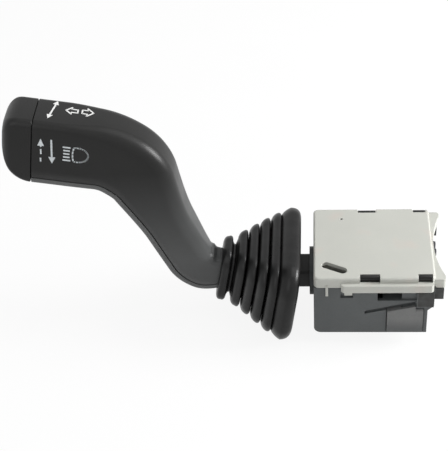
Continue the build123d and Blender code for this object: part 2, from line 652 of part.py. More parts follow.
def terminal_blades():
    """Brass blades from the connector socket up to the contact board."""
    size = (BLADE_WIDTH, BLADE_THICKNESS, BOARD_TOP - BLOCK_HEIGHT + BLOCK_ROOF + BLADE_DROP)
    blade = Box(*size, align=(Align.CENTER, Align.CENTER, Align.MAX))
    blade = chamfer(blade.faces().sort_by(Axis.Z)[0].edges().filter_by(Axis.X), BLADE_THICKNESS / 4)
    return together(*[Pos(x, y, BOARD_TOP) * blade for x, y in blade_places()])


def blade_slots():
    """Slots that the blades fill."""
    slots = Part()
    for x, y in blade_places():
        half = (BLADE_WIDTH / 2, BLADE_THICKNESS / 2)
        slots += box((x - half[0], x + half[0]), (y - half[1], y + half[1]), (0, BODY_HEIGHT))
    return slots


def terminal_block():
    """Connector socket that opens through the base, with keys for the plug."""
    outer = box(BLOCK_SPAN_X, BLOCK_SPAN_Y, (0, BLOCK_HEIGHT))
    x = (BLOCK_SPAN_X[0] + BLOCK_WALL, BLOCK_SPAN_X[1] - BLOCK_WALL)
    y = (BLOCK_SPAN_Y[0] + BLOCK_WALL, BLOCK_SPAN_Y[1] - BLOCK_WALL)
    socket = box(x, y, (-1, BLOCK_HEIGHT - BLOCK_ROOF))
    socket = fillet(socket.edges().filter_by(Axis.Z), SOCKET_CORNER)
    key = box((x[0] - PART_GAP, x[0] + KEY_PROUD), KEY_SPAN_Y, (KEY_START, BLOCK_HEIGHT - BLOCK_ROOF))
    return outer - socket + key - blade_slots()


def contact_board():
    """Insulating board on four posts, with guide ribs for the turn slider."""
    y = (BLOCK_SPAN_Y[0] - POST_OFFSET - POST_RADIUS, BLOCK_SPAN_Y[1] + POST_OFFSET + POST_RADIUS)
    body = box(BLOCK_SPAN_X, y, (BOARD_BOTTOM, BOARD_TOP))
    rib_end = SLIDER_HALF_DEPTH + GUIDE_OVERHANG
    rib_y = (-rib_end, rib_end)
    inner = SLIDER_HALF_LENGTH + RUN_GAP
    for start in (FINGER_X - inner - GUIDE_WIDTH, FINGER_X + inner):
        body += box((start, start + GUIDE_WIDTH), rib_y, (BOARD_TOP, BOARD_TOP + GUIDE_HEIGHT))
    return body - blade_slots()


def fixed_contacts():
    """Brass strips on the board, one along each row of blades and one between them."""
    z = (BOARD_TOP, CONTACT_TOP)
    pad = Pos(0, 0, z[0]) * Box(PAD_WIDTH, PAD_LENGTH, z[1] - z[0], align=ON_BASE)
    places = [(side * PAD_OFFSET, row * PAD_PITCH) for side in (-1, 1) for row in (-1, 0, 1)]
    strips = [Pos(FINGER_X + x, y, 0) * pad for x, y in places]
    guide_end = FINGER_X + SLIDER_HALF_LENGTH + RUN_GAP + GUIDE_WIDTH
    for x, y in blade_places():
        lane = (x - BLADE_WIDTH / 2, x + BLADE_WIDTH / 2)
        if lane[0] > guide_end:
            strips.append(box(lane, (y - BLADE_PAD_LENGTH / 2, y + BLADE_PAD_LENGTH / 2), z))
    return together(*strips)


def turn_slider():
    """Contact slider that the carrier's finger pushes along Y."""
    x = (FINGER_X - SLIDER_HALF_LENGTH, FINGER_X + SLIDER_HALF_LENGTH)
    y = (-SLIDER_HALF_DEPTH, SLIDER_HALF_DEPTH)
    body = box(x, y, (SLIDER_BOTTOM, SLIDER_BOTTOM + SLIDER_HEIGHT))
    body = chamfer(body.faces().sort_by(Axis.Z)[-1].edges().filter_by(Axis.X), SLIDER_CHAMFER)
    slot_y = FINGER_RADIUS + FINGER_PLAY
    slot_x = FINGER_RADIUS + RUN_GAP
    return body - box((FINGER_X - slot_x, FINGER_X + slot_x), (-slot_y, slot_y), (0, BODY_HEIGHT))


def bridge_contacts():
    """Two brass bridges under the turn slider."""
    half = SLIDER_HALF_LENGTH - BRIDGE_INSET
    lane = (FINGER_X - half, FINGER_X + half)
    z = (SLIDER_BOTTOM - RUN_GAP / 2, SLIDER_BOTTOM)
    start, end = 2 * FINGER_RADIUS, SLIDER_HALF_DEPTH - BRIDGE_END_GAP
    bridge = box(lane, (start, end), z)
    return together(bridge, mirror(bridge, Plane.XZ))


def dip_slider():
    """Slider on the floor ribs that the stem's toe pushes along X."""
    y = (-DIP_SLIDER_HALF_DEPTH, DIP_SLIDER_HALF_DEPTH)
    body = box(DIP_SLIDER_SPAN, y, (DIP_SLIDER_BOTTOM, DIP_SLIDER_TOP))
    body = fillet(body.edges().filter_by(Axis.Z), DIP_SLIDER_CORNER)
    toe_x = TOE_RADIUS + RUN_GAP
    swing = TOE_RADIUS - DIP_PIN_X * sin(radians(TURN_THROW)) + RUN_GAP
    body -= box((DIP_PIN_X - toe_x, DIP_PIN_X + toe_x), (-swing, swing), (0, CARRIER_BOTTOM))
    travel = DIP_ARM * radians(DIP_THROW) + RUN_GAP
    length = 2 * (JOURNAL_RADIUS + travel)
    journal_slot = SlotOverall(length, 2 * (JOURNAL_RADIUS + RUN_GAP))
    return body - extrude(journal_slot, CARRIER_BOTTOM)


def dip_contact_leaf():
    """Spring leaf on the terminal block, in front of the dip slider."""
    x = (BLOCK_SPAN_X[0] - LEAF_THICKNESS, BLOCK_SPAN_X[0])
    return box(x, (-LEAF_HALF_DEPTH, LEAF_HALF_DEPTH), (DIP_SLIDER_BOTTOM, BLOCK_HEIGHT))


# ---------------------------------------------------------------- self-cancelling pawl
def pawl_guide():
    """Channel under the cover in which the pawl's carriage slides."""
    half = CARRIAGE_HALF_DEPTH + RUN_GAP + CHANNEL_WALL
    bottom = CARRIAGE_BOTTOM - FIT_GAP - CHANNEL_WALL
    body = box(GUIDE_SPAN, (-half, half), (bottom, COVER_UNDERSIDE))
    half -= CHANNEL_WALL
    channel_x = (GUIDE_SPAN[0] + CHANNEL_WALL, GUIDE_SPAN[1] + 1)
    body -= box(channel_x, (-half, half), (CARRIAGE_BOTTOM - FIT_GAP, COVER_UNDERSIDE))
    return body


def pawl_carriage():
    """Sliding block with the stud that the pawl swings on."""
    half = CARRIAGE_HALF_DEPTH
    body = box(CARRIAGE_SPAN, (-half, half), (CARRIAGE_BOTTOM, CARRIAGE_TOP))
    body = chamfer(body.edges().filter_by(Axis.Z), CARRIAGE_CHAMFER)
    stud = rod(PAWL_STUD_RADIUS, (PAWL_PIVOT_X, 0, CARRIAGE_BOTTOM + 1), (PAWL_PIVOT_X, 0, PAWL_TOP))
    return body + stud


def cancel_pawl():
    """Flat pawl with a forked nose, which the column's cam strikes."""
    pivot, tip, half = PAWL_PIVOT_X, PAWL_TIP_X, PAWL_HALF_DEPTH
    points = [
        (pivot - PAWL_TAIL, -PAWL_TAIL),
        (pivot + PAWL_TAIL, -PAWL_TAIL),
        (tip - PAWL_NOSE, -half),
        (tip, PAWL_NOSE_CORNER - half),
        (tip, -PAWL_NOTCH),
        (tip - PAWL_NOTCH_DEPTH, 0),
        (tip, PAWL_NOTCH),
        (tip, half - PAWL_NOSE_CORNER),
        (tip - PAWL_NOSE, half),
        (pivot + PAWL_TAIL, PAWL_TAIL),
        (pivot - PAWL_TAIL, PAWL_TAIL),
    ]
    body = top_plate(points, (PAWL_BOTTOM, PAWL_TOP))
    bore = PAWL_STUD_RADIUS + FIT_GAP
    return body - rod(bore, (pivot, 0, PAWL_BOTTOM - 1), (pivot, 0, PAWL_TOP + 1))


# ---------------------------------------------------------------- lever
def lever_path():
    """Axis of the lever's shell, from the cap joint through both bends to its small end."""
    points = [Vector(CAP_JOINT[0], 0, CAP_JOINT[1])]
    runs = ((PADDLE_LENGTH, PADDLE_TILT), (SHANK_LENGTH, SHANK_TILT), (NECK_LENGTH, NECK_TILT))
    for length, tilt in runs:
        fall = radians(tilt)
        points.append(points[-1] + Vector(length * cos(fall), 0, -length * sin(fall)))
    return FilletPolyline(*points, radius=(UPPER_BEND, LOWER_BEND))


def blend(t, start, end):
    """Smooth step from 0 to 1 as t goes from start to end."""
    u = min(max((t - start) / (end - start), 0), 1)
    return u * u * (3 - 2 * u)


def lever_height(t):
    """Height of the lever's section at the fraction t of its path."""
    swell = (SWELL_HEIGHT - PADDLE_HEIGHT) * blend(t, *SWELL_SPAN)
    waist = (SWELL_HEIGHT - SHANK_HEIGHT) * blend(t, *WAIST_SPAN)
    end = (SHANK_HEIGHT - END_HEIGHT) * blend(t, *END_SPAN)
    return PADDLE_HEIGHT + swell - waist - end


def lever_depth(t):
    """Depth of the lever's section at the fraction t of its path."""
    return PADDLE_DEPTH - (PADDLE_DEPTH - END_DEPTH) * blend(t, *TAPER_SPAN)


def rounded_corner(x, y, radius, run):
    """Points of a corner that leaves in the direction run; a negative radius turns right."""
    size, turn = abs(radius), -1 if radius < 0 else 1
    if not size:
        return [(x, y)]
    arrive = (turn * run[1], -turn * run[0])
    middle = [(x, y)[k] + size * (run[k] - arrive[k]) for k in range(2)]
    points = []
    for step in range(CORNER_CHORDS + 1):
        angle = radians(90 * step / CORNER_CHORDS)
        along, back = size * sin(angle), size * cos(angle)
        points.append(tuple(middle[k] + along * arrive[k] - back * run[k] for k in range(2)))
    return points


def outline(plane, corners):
    """Points on a plane through rounded corners, in turn."""
    return [plane.from_local_coords((x, y, 0)) for corner in corners for x, y in corner]


def plate(points):
    """Flat face with straight edges."""
    return make_face(Polyline(*points, close=True))


def facets(near, far):
    """Flat faces between two outlines of equally many points: whole where flat, else halved."""
    for i in range(len(near)):
        a, b, c, d = near[i - 1], near[i], far[i], far[i - 1]
        if abs((b - a).cross(d - a).normalized().dot(c - a)) < FLAT_ERROR:
            yield Face(Wire.make_polygon([a, b, c, d]))
        else:
            yield Face(Wire.make_polygon([a, b, c]))
            yield Face(Wire.make_polygon([a, c, d]))


def skin(outlines):
    """Solid through outlines of equally many points, closed with flat faces."""
    faces = [plate(outlines[0]), plate(outlines[-1])]
    for near, far in pairwise(outlines):
        faces += facets(near, far)
    return Solid(Shell(faces))


def section(plane, half_depth, low, high, low_corner, high_corner):
    """Outline across the lever, from low to high along its own upward axis."""
    corners = [
        rounded_corner(half_depth, low, low_corner, (0, 1)),
        rounded_corner(half_depth, high, high_corner, (-1, 0)),
        rounded_corner(-half_depth, high, high_corner, (0, -1)),
        rounded_corner(-half_depth, low, low_corner, (1, 0)),
    ]
    return outline(plane, corners)


def arch(plane, half_depth, low, high, corner, wall):
    """Hollow outline that is open below: an upside-down U with rounded upper corners."""
    inner_depth, inner_high = half_depth - wall, high - wall
    inner_corner = max(corner - wall, INNER_CORNER)
    corners = [
        rounded_corner(half_depth, low, 0, (0, 1)),
        rounded_corner(half_depth, high, corner, (-1, 0)),
        rounded_corner(-half_depth, high, corner, (0, -1)),
        rounded_corner(-half_depth, low, 0, (1, 0)),
        rounded_corner(-inner_depth, low, 0, (0, 1)),
        rounded_corner(-inner_depth, inner_high, -inner_corner, (1, 0)),
        rounded_corner(inner_depth, inner_high, -inner_corner, (0, -1)),
        rounded_corner(inner_depth, low, 0, (1, 0)),
    ]
    return outline(plane, corners)


def section_plane(t):
    """Plane across the lever's path, with its X along +Y and its Y upwards."""
    path = lever_path()
    return Plane(path @ t, x_dir=(0, 1, 0), z_dir=path % t)


def crest(t):
    """Radius of the section's upper corners."""
    return CREST_RADIUS - CREST_LOSS * blend(t, *CREST_SPAN)


def lever_stations():
    """Fractions of the path where the lever has a section: close round the bends, wide elsewhere."""
    path = lever_path()
    marks = [0.0]
    for edge in path.edges():
        steps = BEND_STEPS if edge.geom_type == GeomType.CIRCLE else ceil(edge.length / RUN_STEP)
        start = marks[-1]
        marks += [start + edge.length * (i + 1) / steps for i in range(steps)]
    return [mark / marks[-1] for mark in marks]


LEVER_STATIONS = lever_stations()


def seam_height(t):
    """Lower edge of the main shell, from the section's middle."""
    return STRIP_HEIGHT + STRIP_GAP - lever_height(t) / 2


def lever_upper_shell():
    """Hollow main shell of the lever, open below and at both ends."""
    rings = []
    for t in LEVER_STATIONS:
        depth, high = lever_depth(t) / 2, lever_height(t) / 2
        rings.append(arch(section_plane(t), depth, seam_height(t), high, crest(t), LEVER_WALL))
    return skin(rings)


def tenon():
    """End of the stem that fills the small end of the main shell."""
    rings, gap = [], LEVER_WALL + LIP_GAP
    for t in [t for t in LEVER_STATIONS if t >= TENON_START]:
        depth, high = lever_depth(t) / 2 - gap, lever_height(t) / 2 - gap
        rings.append(section(section_plane(t), depth, seam_height(t) + LIP_GAP, high, 0, TENON_CORNER))
    return skin(rings)


def lever_lower_shell():
    """Closing shell along the lever's lower edge, with pairs of tabs that enter the main shell."""
    rings = []
    for t in LEVER_STATIONS:
        base = -lever_height(t) / 2
        half = lever_depth(t) / 2
        rings.append(section(section_plane(t), half, base, base + STRIP_HEIGHT, KEEL_RADIUS, 0))
    body = skin(rings)
    for t in TAB_STATIONS:
        half = lever_depth(t) / 2 - LEVER_WALL - LIP_GAP - LIP_THICKNESS / 2
        foot = -lever_height(t) / 2 + STRIP_HEIGHT / 2
        height = STRIP_HEIGHT / 2 + LIP_HEIGHT
        for side in (-1, 1):
            place = section_plane(t) * Pos(side * half, foot + height / 2, 0)
            body += place * Box(LIP_THICKNESS, height, TAB_LENGTH)
    return body


def cap_station(u, inset):
    """Section of the end cap at the distance u from the joint."""
    joint = section_plane(0)
    plane = Plane(joint.origin - joint.z_dir * u, x_dir=joint.x_dir, z_dir=joint.z_dir)
    length = CAP_LENGTH - inset

    def drop(radius):
        run = max(u - (length - radius), 0)
        return radius - sqrt(max(radius**2 - run**2, 0))

    cut = drop(CAP_LOW_ROUND - inset)
    low = inset + cut - PADDLE_HEIGHT / 2
    high = PADDLE_HEIGHT / 2 - inset - drop(CAP_TOP_ROUND - inset)
    half_depth = PADDLE_DEPTH / 2 - inset - drop(CAP_EDGE - inset / 2)
    room = min(half_depth, (high - low) / 2) - LEAST_FLAT
    high_corner = min(crest(0) - inset / 2, room)
    low_corner = min(KEEL_RADIUS + cut / 2, room)
    return section(plane, half_depth, low, high, low_corner, high_corner)


def cap_loft(inset, start):
    """Rounded body of the end cap, moved inwards by inset."""
    length = CAP_LENGTH - inset
    radius = CAP_LOW_ROUND - inset
    distances = [length - radius + radius * sin(radians(a)) for a in CAP_ANGLES]
    return skin([cap_station(u, inset) for u in [start, *distances]])


def lever_end_cap():
    """Hollow end cap with a spigot that plugs into the main shell."""
    joint = section_plane(0)
    inset = LEVER_WALL + LIP_GAP
    half = PADDLE_HEIGHT / 2
    low = -half + STRIP_HEIGHT + LIP_HEIGHT + 2 * LIP_GAP
    high = half - inset - LIP_GAP
    corner = crest(0) - inset + INNER_CORNER
    face = plate(section(joint, PADDLE_DEPTH / 2 - inset, low, high, 0, corner))
    spigot = extrude(face, amount=CAP_SPIGOT, dir=joint.z_dir)
    spigot += extrude(face, amount=CAP_GAP + LEVER_WALL, dir=-joint.z_dir)
    hollow = PADDLE_DEPTH / 2 - 2 * inset
    hole = plate(section(joint, hollow, low + inset, half - 2 * inset, 0, INNER_CORNER))
    hole = extrude(hole, amount=CAP_SPIGOT, dir=joint.z_dir) + extrude(hole, CAP_LENGTH / 2, -joint.z_dir)
    return cap_loft(0, CAP_GAP) - cap_loft(LEVER_WALL, CAP_GAP + LEVER_WALL) + spigot - hole


def lever_stem():
    """Arm from inside the lever's shell, through the gaiter and the collar, to the dip pin."""
    small_end = section_plane(1)
    shoulder = section(small_end, END_DEPTH / 2, -END_HEIGHT / 2, END_HEIGHT / 2, KEEL_RADIUS, crest(1))
    waist_x, neck_x = LEFT + STEM_WAIST_X, LEFT + STEM_NECK_X
    size = (2 * STEM_HALF_DEPTH, 2 * STEM_HALF_HEIGHT)
    rings = [shoulder]
    for x, z in ((waist_x, STEM_AXIS_HEIGHT + STEM_RISE), (neck_x, STEM_AXIS_HEIGHT)):
        plane = Plane((x, 0, z), x_dir=(0, 1, 0), z_dir=(1, 0, 0))
        half = STEM_HALF_HEIGHT
        rings.append(section(plane, STEM_HALF_DEPTH, -half, half, STEM_CORNER, STEM_CORNER))
    body = skin(rings)
    straight = (neck_x, DIP_PIN_X + DIP_PIN_RADIUS)
    body += rounded_bar(straight, *size, STEM_CORNER, (0, STEM_AXIS_HEIGHT))
    tail = (straight[1] - 1, STEM_END)
    tail_height = 2 * STEM_TAIL_HALF_HEIGHT
    body += rounded_bar(tail, size[0], tail_height, STEM_CORNER, (0, STEM_AXIS_HEIGHT))
    toe_top = (DIP_PIN_X, 0, STEM_AXIS_HEIGHT - STEM_HALF_HEIGHT + 1)
    body += rod(TOE_RADIUS, (DIP_PIN_X, 0, DIP_SLIDER_BOTTOM), toe_top)
    ends = [(DIP_PIN_X, side * 2 * CARRIER_HALF_DEPTH, STEM_AXIS_HEIGHT) for side in (-1, 1)]
    body -= rod(DIP_PIN_RADIUS + FIT_GAP, *ends)
    bore_start = (STEM_END - DIP_BORE_DEPTH, 0, STEM_AXIS_HEIGHT)
    body -= rod(PLUNGER_RADIUS + FIT_GAP, bore_start, (STEM_END + 1, 0, STEM_AXIS_HEIGHT))
    return body + tenon()


# ---------------------------------------------------------------- gaiter
def ring_place(i):
    """X and Z of the centre of ring i; i may lie between two rings."""
    ends = END_RING_EXTRA * (min(i, 1) + max(i - (RING_COUNT - 2), 0))
    x = FIRST_RING_X + RING_PITCH * i + ends
    share = i / (RING_COUNT - 1)
    return x, FLANGE_CENTRE_HEIGHT + RING_RISE * (1 - share**RING_RISE_POWER)


def gaiter_section(i, shift, drop):
    """Section of the gaiter near ring i: shifted along its axis and lowered by drop."""
    x, z = ring_place(i)
    tilt = radians(RING_TILT)
    normal = Vector(cos(tilt), 0, -sin(tilt))
    plane = Plane(Vector(x, 0, z) + normal * shift, x_dir=(0, 1, 0), z_dir=normal)
    half_depth = RING_HALF_DEPTH + RING_DEPTH_STEP * i - drop
    half_height = RING_HALF_HEIGHT + RING_HEIGHT_STEP * i**2 - drop
    corner = RING_CORNER + RING_CORNER_STEP * i**2 - drop * CORNER_SHRINK
    corner = min(corner, half_depth - LEAST_FLAT)
    return section(plane, half_depth, -half_height, half_height, corner, corner)


def gaiter():
    """Rubber bellows: six rounded rings, the last one a wide flange, with a thin wall."""
    last = RING_COUNT - 1
    outer, inner = [cuff(GAITER_WALL)], [cuff(0)]
    for i in range(RING_COUNT):
        half_width = FLANGE_WIDTH / 2 if i == last else RING_WIDTH / 2
        for side in (-1, 1):
            edge, crown = (side * half_width, RING_ROUND), (side * half_width * RING_FLAT, 0)
            pair = (edge, crown) if side < 0 else (crown, edge)
            outer += [gaiter_section(i, shift, drop) for shift, drop in pair]
        if i < last:
            groove = i + (GROOVE_PLACE if i < last - 1 else LAST_GROOVE_PLACE)
            outer.append(gaiter_section(groove, 0, GROOVE_DEPTH))
            inner.append(gaiter_section(groove, 0, GROOVE_DEPTH + GAITER_WALL))
    inner.append(gaiter_section(last, FLANGE_WIDTH / 2 + GAITER_WALL, GROOVE_DEPTH))
    return skin(outer) - skin(inner)


def cuff(wall):
    """Small end of the gaiter, which grips the shell's end."""
    x, z = ring_place(0)
    plane = section_plane(1)
    back = plane.origin - plane.z_dir * CUFF_GRIP
    plane = Plane(back, x_dir=plane.x_dir, z_dir=plane.z_dir)
    room = wall + LIP_GAP
    half_height = lever_height(1) / 2 + room
    corner = crest(1) + wall
    return section(plane, lever_depth(1) / 2 + room, -half_height, half_height, corner, corner)


# ---------------------------------------------------------------- assembly
def main():
    """Builds and writes every sub-part."""
    os.makedirs("parts", exist_ok=True)
    write("lower_housing", lower_housing())
    write("top_cover", top_cover())
    write("release_latch", release_latch())
    write("turn_carrier", turn_carrier())
    write("dip_pin", dip_pin())
    write("turn_plunger", plunger(TAIL_END, TURN_PLUNGER_HEIGHT))
    write("dip_plunger", plunger(STEM_END, STEM_AXIS_HEIGHT))
    turn_seat = TAIL_END - TURN_BORE_DEPTH
    turn_end = TAIL_END + PLUNGER_PROUD - PLUNGER_LENGTH
    write("turn_spring", spring(turn_seat, turn_end, TURN_PLUNGER_HEIGHT))
    dip_end = STEM_END + PLUNGER_PROUD - PLUNGER_LENGTH
    write("dip_spring", spring(STEM_END - DIP_BORE_DEPTH, dip_end, STEM_AXIS_HEIGHT))
    pawl_seat = GUIDE_SPAN[0] + CHANNEL_WALL
    pawl_height = (CARRIAGE_BOTTOM + CARRIAGE_TOP) / 2
    write("pawl_spring", spring(pawl_seat, CARRIAGE_SPAN[0], pawl_height))
    write("turn_detent_track", turn_detent_track())
    write("terminal_blades", terminal_blades())
    write("terminal_block", terminal_block())
    write("contact_board", contact_board())
    write("fixed_contacts", fixed_contacts())
    write("turn_slider", turn_slider())
    write("bridge_contacts", bridge_contacts())
    write("dip_slider", dip_slider())
    write("dip_contact_leaf", dip_contact_leaf())
    write("pawl_guide", pawl_guide())
    write("pawl_carriage", pawl_carriage())
    write("cancel_pawl", cancel_pawl())
    write("lever_upper_shell", lever_upper_shell())
    write("lever_lower_shell", lever_lower_shell())
    write("lever_end_cap", lever_end_cap())
    write("lever_stem", lever_stem())
    write("gaiter", gaiter())


if __name__ == "__main__":
    main()
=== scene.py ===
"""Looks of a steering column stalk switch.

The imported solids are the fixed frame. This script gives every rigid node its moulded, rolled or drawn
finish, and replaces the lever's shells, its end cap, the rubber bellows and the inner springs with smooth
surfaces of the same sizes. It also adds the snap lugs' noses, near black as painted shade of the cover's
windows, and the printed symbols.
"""

import logging
import math
from collections.abc import Iterator, Sequence
from dataclasses import dataclass
from enum import Enum

import bpy
import numpy as np
from mathutils import Matrix, Vector

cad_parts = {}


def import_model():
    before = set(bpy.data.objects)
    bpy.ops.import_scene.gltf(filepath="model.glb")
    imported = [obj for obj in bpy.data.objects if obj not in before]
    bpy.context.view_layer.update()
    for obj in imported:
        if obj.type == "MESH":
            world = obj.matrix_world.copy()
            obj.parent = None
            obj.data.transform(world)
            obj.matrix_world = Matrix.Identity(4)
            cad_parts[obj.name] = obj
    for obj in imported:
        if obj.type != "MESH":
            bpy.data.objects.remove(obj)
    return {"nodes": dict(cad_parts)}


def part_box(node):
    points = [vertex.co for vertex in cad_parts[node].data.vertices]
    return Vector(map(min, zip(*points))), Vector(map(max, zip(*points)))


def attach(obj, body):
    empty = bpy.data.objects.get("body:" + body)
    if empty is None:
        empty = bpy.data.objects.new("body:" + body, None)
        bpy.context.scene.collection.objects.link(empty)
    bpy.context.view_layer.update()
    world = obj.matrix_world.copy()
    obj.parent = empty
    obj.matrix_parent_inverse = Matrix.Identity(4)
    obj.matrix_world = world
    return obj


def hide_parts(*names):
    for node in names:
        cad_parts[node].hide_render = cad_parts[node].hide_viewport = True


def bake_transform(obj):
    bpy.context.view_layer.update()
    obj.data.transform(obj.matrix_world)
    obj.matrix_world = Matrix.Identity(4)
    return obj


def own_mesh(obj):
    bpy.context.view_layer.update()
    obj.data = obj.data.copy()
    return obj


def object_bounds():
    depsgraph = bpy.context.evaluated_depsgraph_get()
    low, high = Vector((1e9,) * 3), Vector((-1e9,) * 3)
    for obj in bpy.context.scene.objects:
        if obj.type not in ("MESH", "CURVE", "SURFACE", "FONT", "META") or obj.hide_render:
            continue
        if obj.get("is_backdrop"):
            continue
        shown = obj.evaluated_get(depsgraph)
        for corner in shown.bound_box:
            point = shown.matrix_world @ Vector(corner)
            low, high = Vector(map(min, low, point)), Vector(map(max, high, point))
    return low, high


LOG = logging.getLogger("stalk_switch")
MM = 0.001
Pair = tuple[float, float]
Triple = tuple[float, float, float]
Row = tuple[float, ...]
Colour = Triple
Array = np.ndarray
Socket = bpy.types.NodeSocket
Piece = bpy.types.Object


def add(name: str, data: bpy.types.ID) -> Piece:
    """Puts a new object with this data into the scene, at the origin."""
    piece = bpy.data.objects.new(name, data)
    bpy.context.scene.collection.objects.link(piece)
    return piece


class Shape:
    """Closed meshes made of rings of points."""

    @staticmethod
    def faces(rings: int, points: int) -> Array:
        """Quads of a closed tube of rings, with both ends folded shut.

        Args:
            rings: Number of rings along the tube.
            points: Number of points round each ring, an even number.

        Returns:
            One row of four point numbers for each quad.
        """
        grid = np.arange(rings * points).reshape(rings, points)
        ahead = np.roll(grid, -1, axis=1)
        sides = np.stack([grid[:-1], grid[1:], ahead[1:], ahead[:-1]], axis=-1).reshape(-1, 4)
        half = np.arange(points // 2 - 1)
        back = points - 1 - half
        fold = np.stack([half, half + 1, back - 1, back], axis=-1)
        first = grid[0][fold]
        last = grid[-1][fold][:, ::-1]
        return np.concatenate([sides, first, last])

    @staticmethod
    def outward(points: Array, faces: Array) -> Array:
        """Turns all faces round if the volume they enclose comes out negative.

        Args:
            points: Places of the points.
            faces: Quads over them, all turned the same way.

        Returns:
            The quads, facing outwards.
        """
        a, b, c, d = (points[faces[:, k]] for k in range(4))
        volume = np.einsum("ij,ij->i", a, np.cross(b, c) + np.cross(c, d)).sum()
        return faces if volume > 0 else faces[:, ::-1]

    @classmethod
    def rings(cls, name: str, solids: list[Array], crease: float = 40.0) -> Piece:
        """Makes one object of closed tubes.

        Args:
            name: Name of the piece.
            solids: For each tube an array of rings by points by XYZ, in millimetres.
            crease: Angle in degrees above which an edge stays sharp.

        Returns:
            The new object, at the origin, with its place in its mesh.
        """
        places, quads, count = [], [], 0
        for solid in solids:
            points = solid.reshape(-1, 3)
            faces = cls.outward(points, cls.faces(solid.shape[0], solid.shape[1]))
            places.append(points)
            quads.append(faces + count)
            count += len(points)
        mesh = bpy.data.meshes.new(name)
        mesh.from_pydata(np.concatenate(places) * MM, [], np.concatenate(quads).tolist())
        mesh.validate()
        mesh.shade_smooth()
        mesh.set_sharp_from_angle(angle=math.radians(crease))
        return add(name, mesh)

    @staticmethod
    def rounded_ring(half: Array, span: Sequence, corners: Sequence, steps: int = 12) -> Array:
        """Rounded rectangles: a point is its corner's centre plus the radius times (cos a, sin a).

        The angle a runs once round, and the centre jumps to the next corner at each quarter turn.

        Args:
            half: Half width of each ring.
            span: Lower and upper edge of each ring.
            corners: Radius of the lower and of the upper corners of each ring.
            steps: Steps in each quarter circle.

        Returns:
            Array of rings by points by (across, up), starting below the middle.
        """
        angle = np.concatenate([quarter(steps) + k * math.pi / 2 for k in (3, 0, 1, 2)])
        side = np.repeat([1, 1, -1, -1], steps + 1)
        upper = np.repeat([0, 1, 1, 0], steps + 1)
        radius = np.stack(corners, axis=-1)[:, upper]
        edge = np.stack(span, axis=-1)[:, upper]
        across = side * (half[:, None] - radius) + radius * np.cos(angle)
        up = edge + np.where(upper, -radius, radius) + radius * np.sin(angle)
        return np.stack([across, up], axis=-1)


def quarter(steps: int) -> Array:
    """Angles of a quarter turn, in radians."""
    return np.linspace(0, math.pi / 2, steps + 1)


def sag(radius: float, run: Array) -> Array:
    """How far a circle has fallen from its tangent at a run along it, up to its radius."""
    return radius - np.sqrt(np.maximum(radius**2 - np.clip(run, 0, radius) ** 2, 0))


def smoothstep(t: Array, start: float, end: float) -> Array:
    """Rises from 0 to 1 between start and end as 3u squared less 2u cubed."""
    u = np.clip((t - start) / (end - start), 0, 1)
    return u * u * (3 - 2 * u)


class Tree:
    """Node tree, with short calls for the nodes that materials and the world share."""

    def __init__(self, tree: bpy.types.NodeTree) -> None:
        """Keeps the tree's nodes and links at hand."""
        self.nodes = tree.nodes
        self.links = tree.links

    def feed(self, socket: Socket, value: object) -> None:
        """Links a socket to another one, or sets it to a plain value."""
        if isinstance(value, Socket):
            self.links.new(value, socket)
        else:
            socket.default_value = value

    def node(self, kind: str, inputs: dict | None = None, **settings: object) -> bpy.types.Node:
        """Adds a node and feeds its inputs.

        Args:
            kind: The node's type, without its prefix.
            inputs: Values or sockets by the input's name or number.
            **settings: The node's own settings by name.

        Returns:
            The new node.
        """
        node = self.nodes.new("ShaderNode" + kind)
        for name, value in settings.items():
            setattr(node, name, value)
        for key, value in (inputs or {}).items():
            self.feed(node.inputs[key], value)
        return node

    def math(self, operation: str, a: object, b: object) -> Socket:
        """One arithmetic step on two values."""
        return self.node("Math", {0: a, 1: b}, operation=operation).outputs[0]

    def span(self, factor: Socket, low: float, high: float, start: float = 0.3, end: float = 0.7) -> Socket:
        """Maps a factor evenly, so that its start comes out as low and its end as high."""
        ends = {"From Min": start, "From Max": end, "To Min": low, "To Max": high}
        return self.node("MapRange", {"Value": factor, **ends}).outputs["Result"]

    def seen(self) -> Socket:
        """1 for rays from the eye, also by way of gloss or glass, and 0 for light on things."""
        path = self.node("LightPath").outputs
        direct = self.math("MAXIMUM", path["Is Camera Ray"], path["Is Glossy Ray"])
        return self.math("MAXIMUM", direct, path["Is Transmission Ray"])


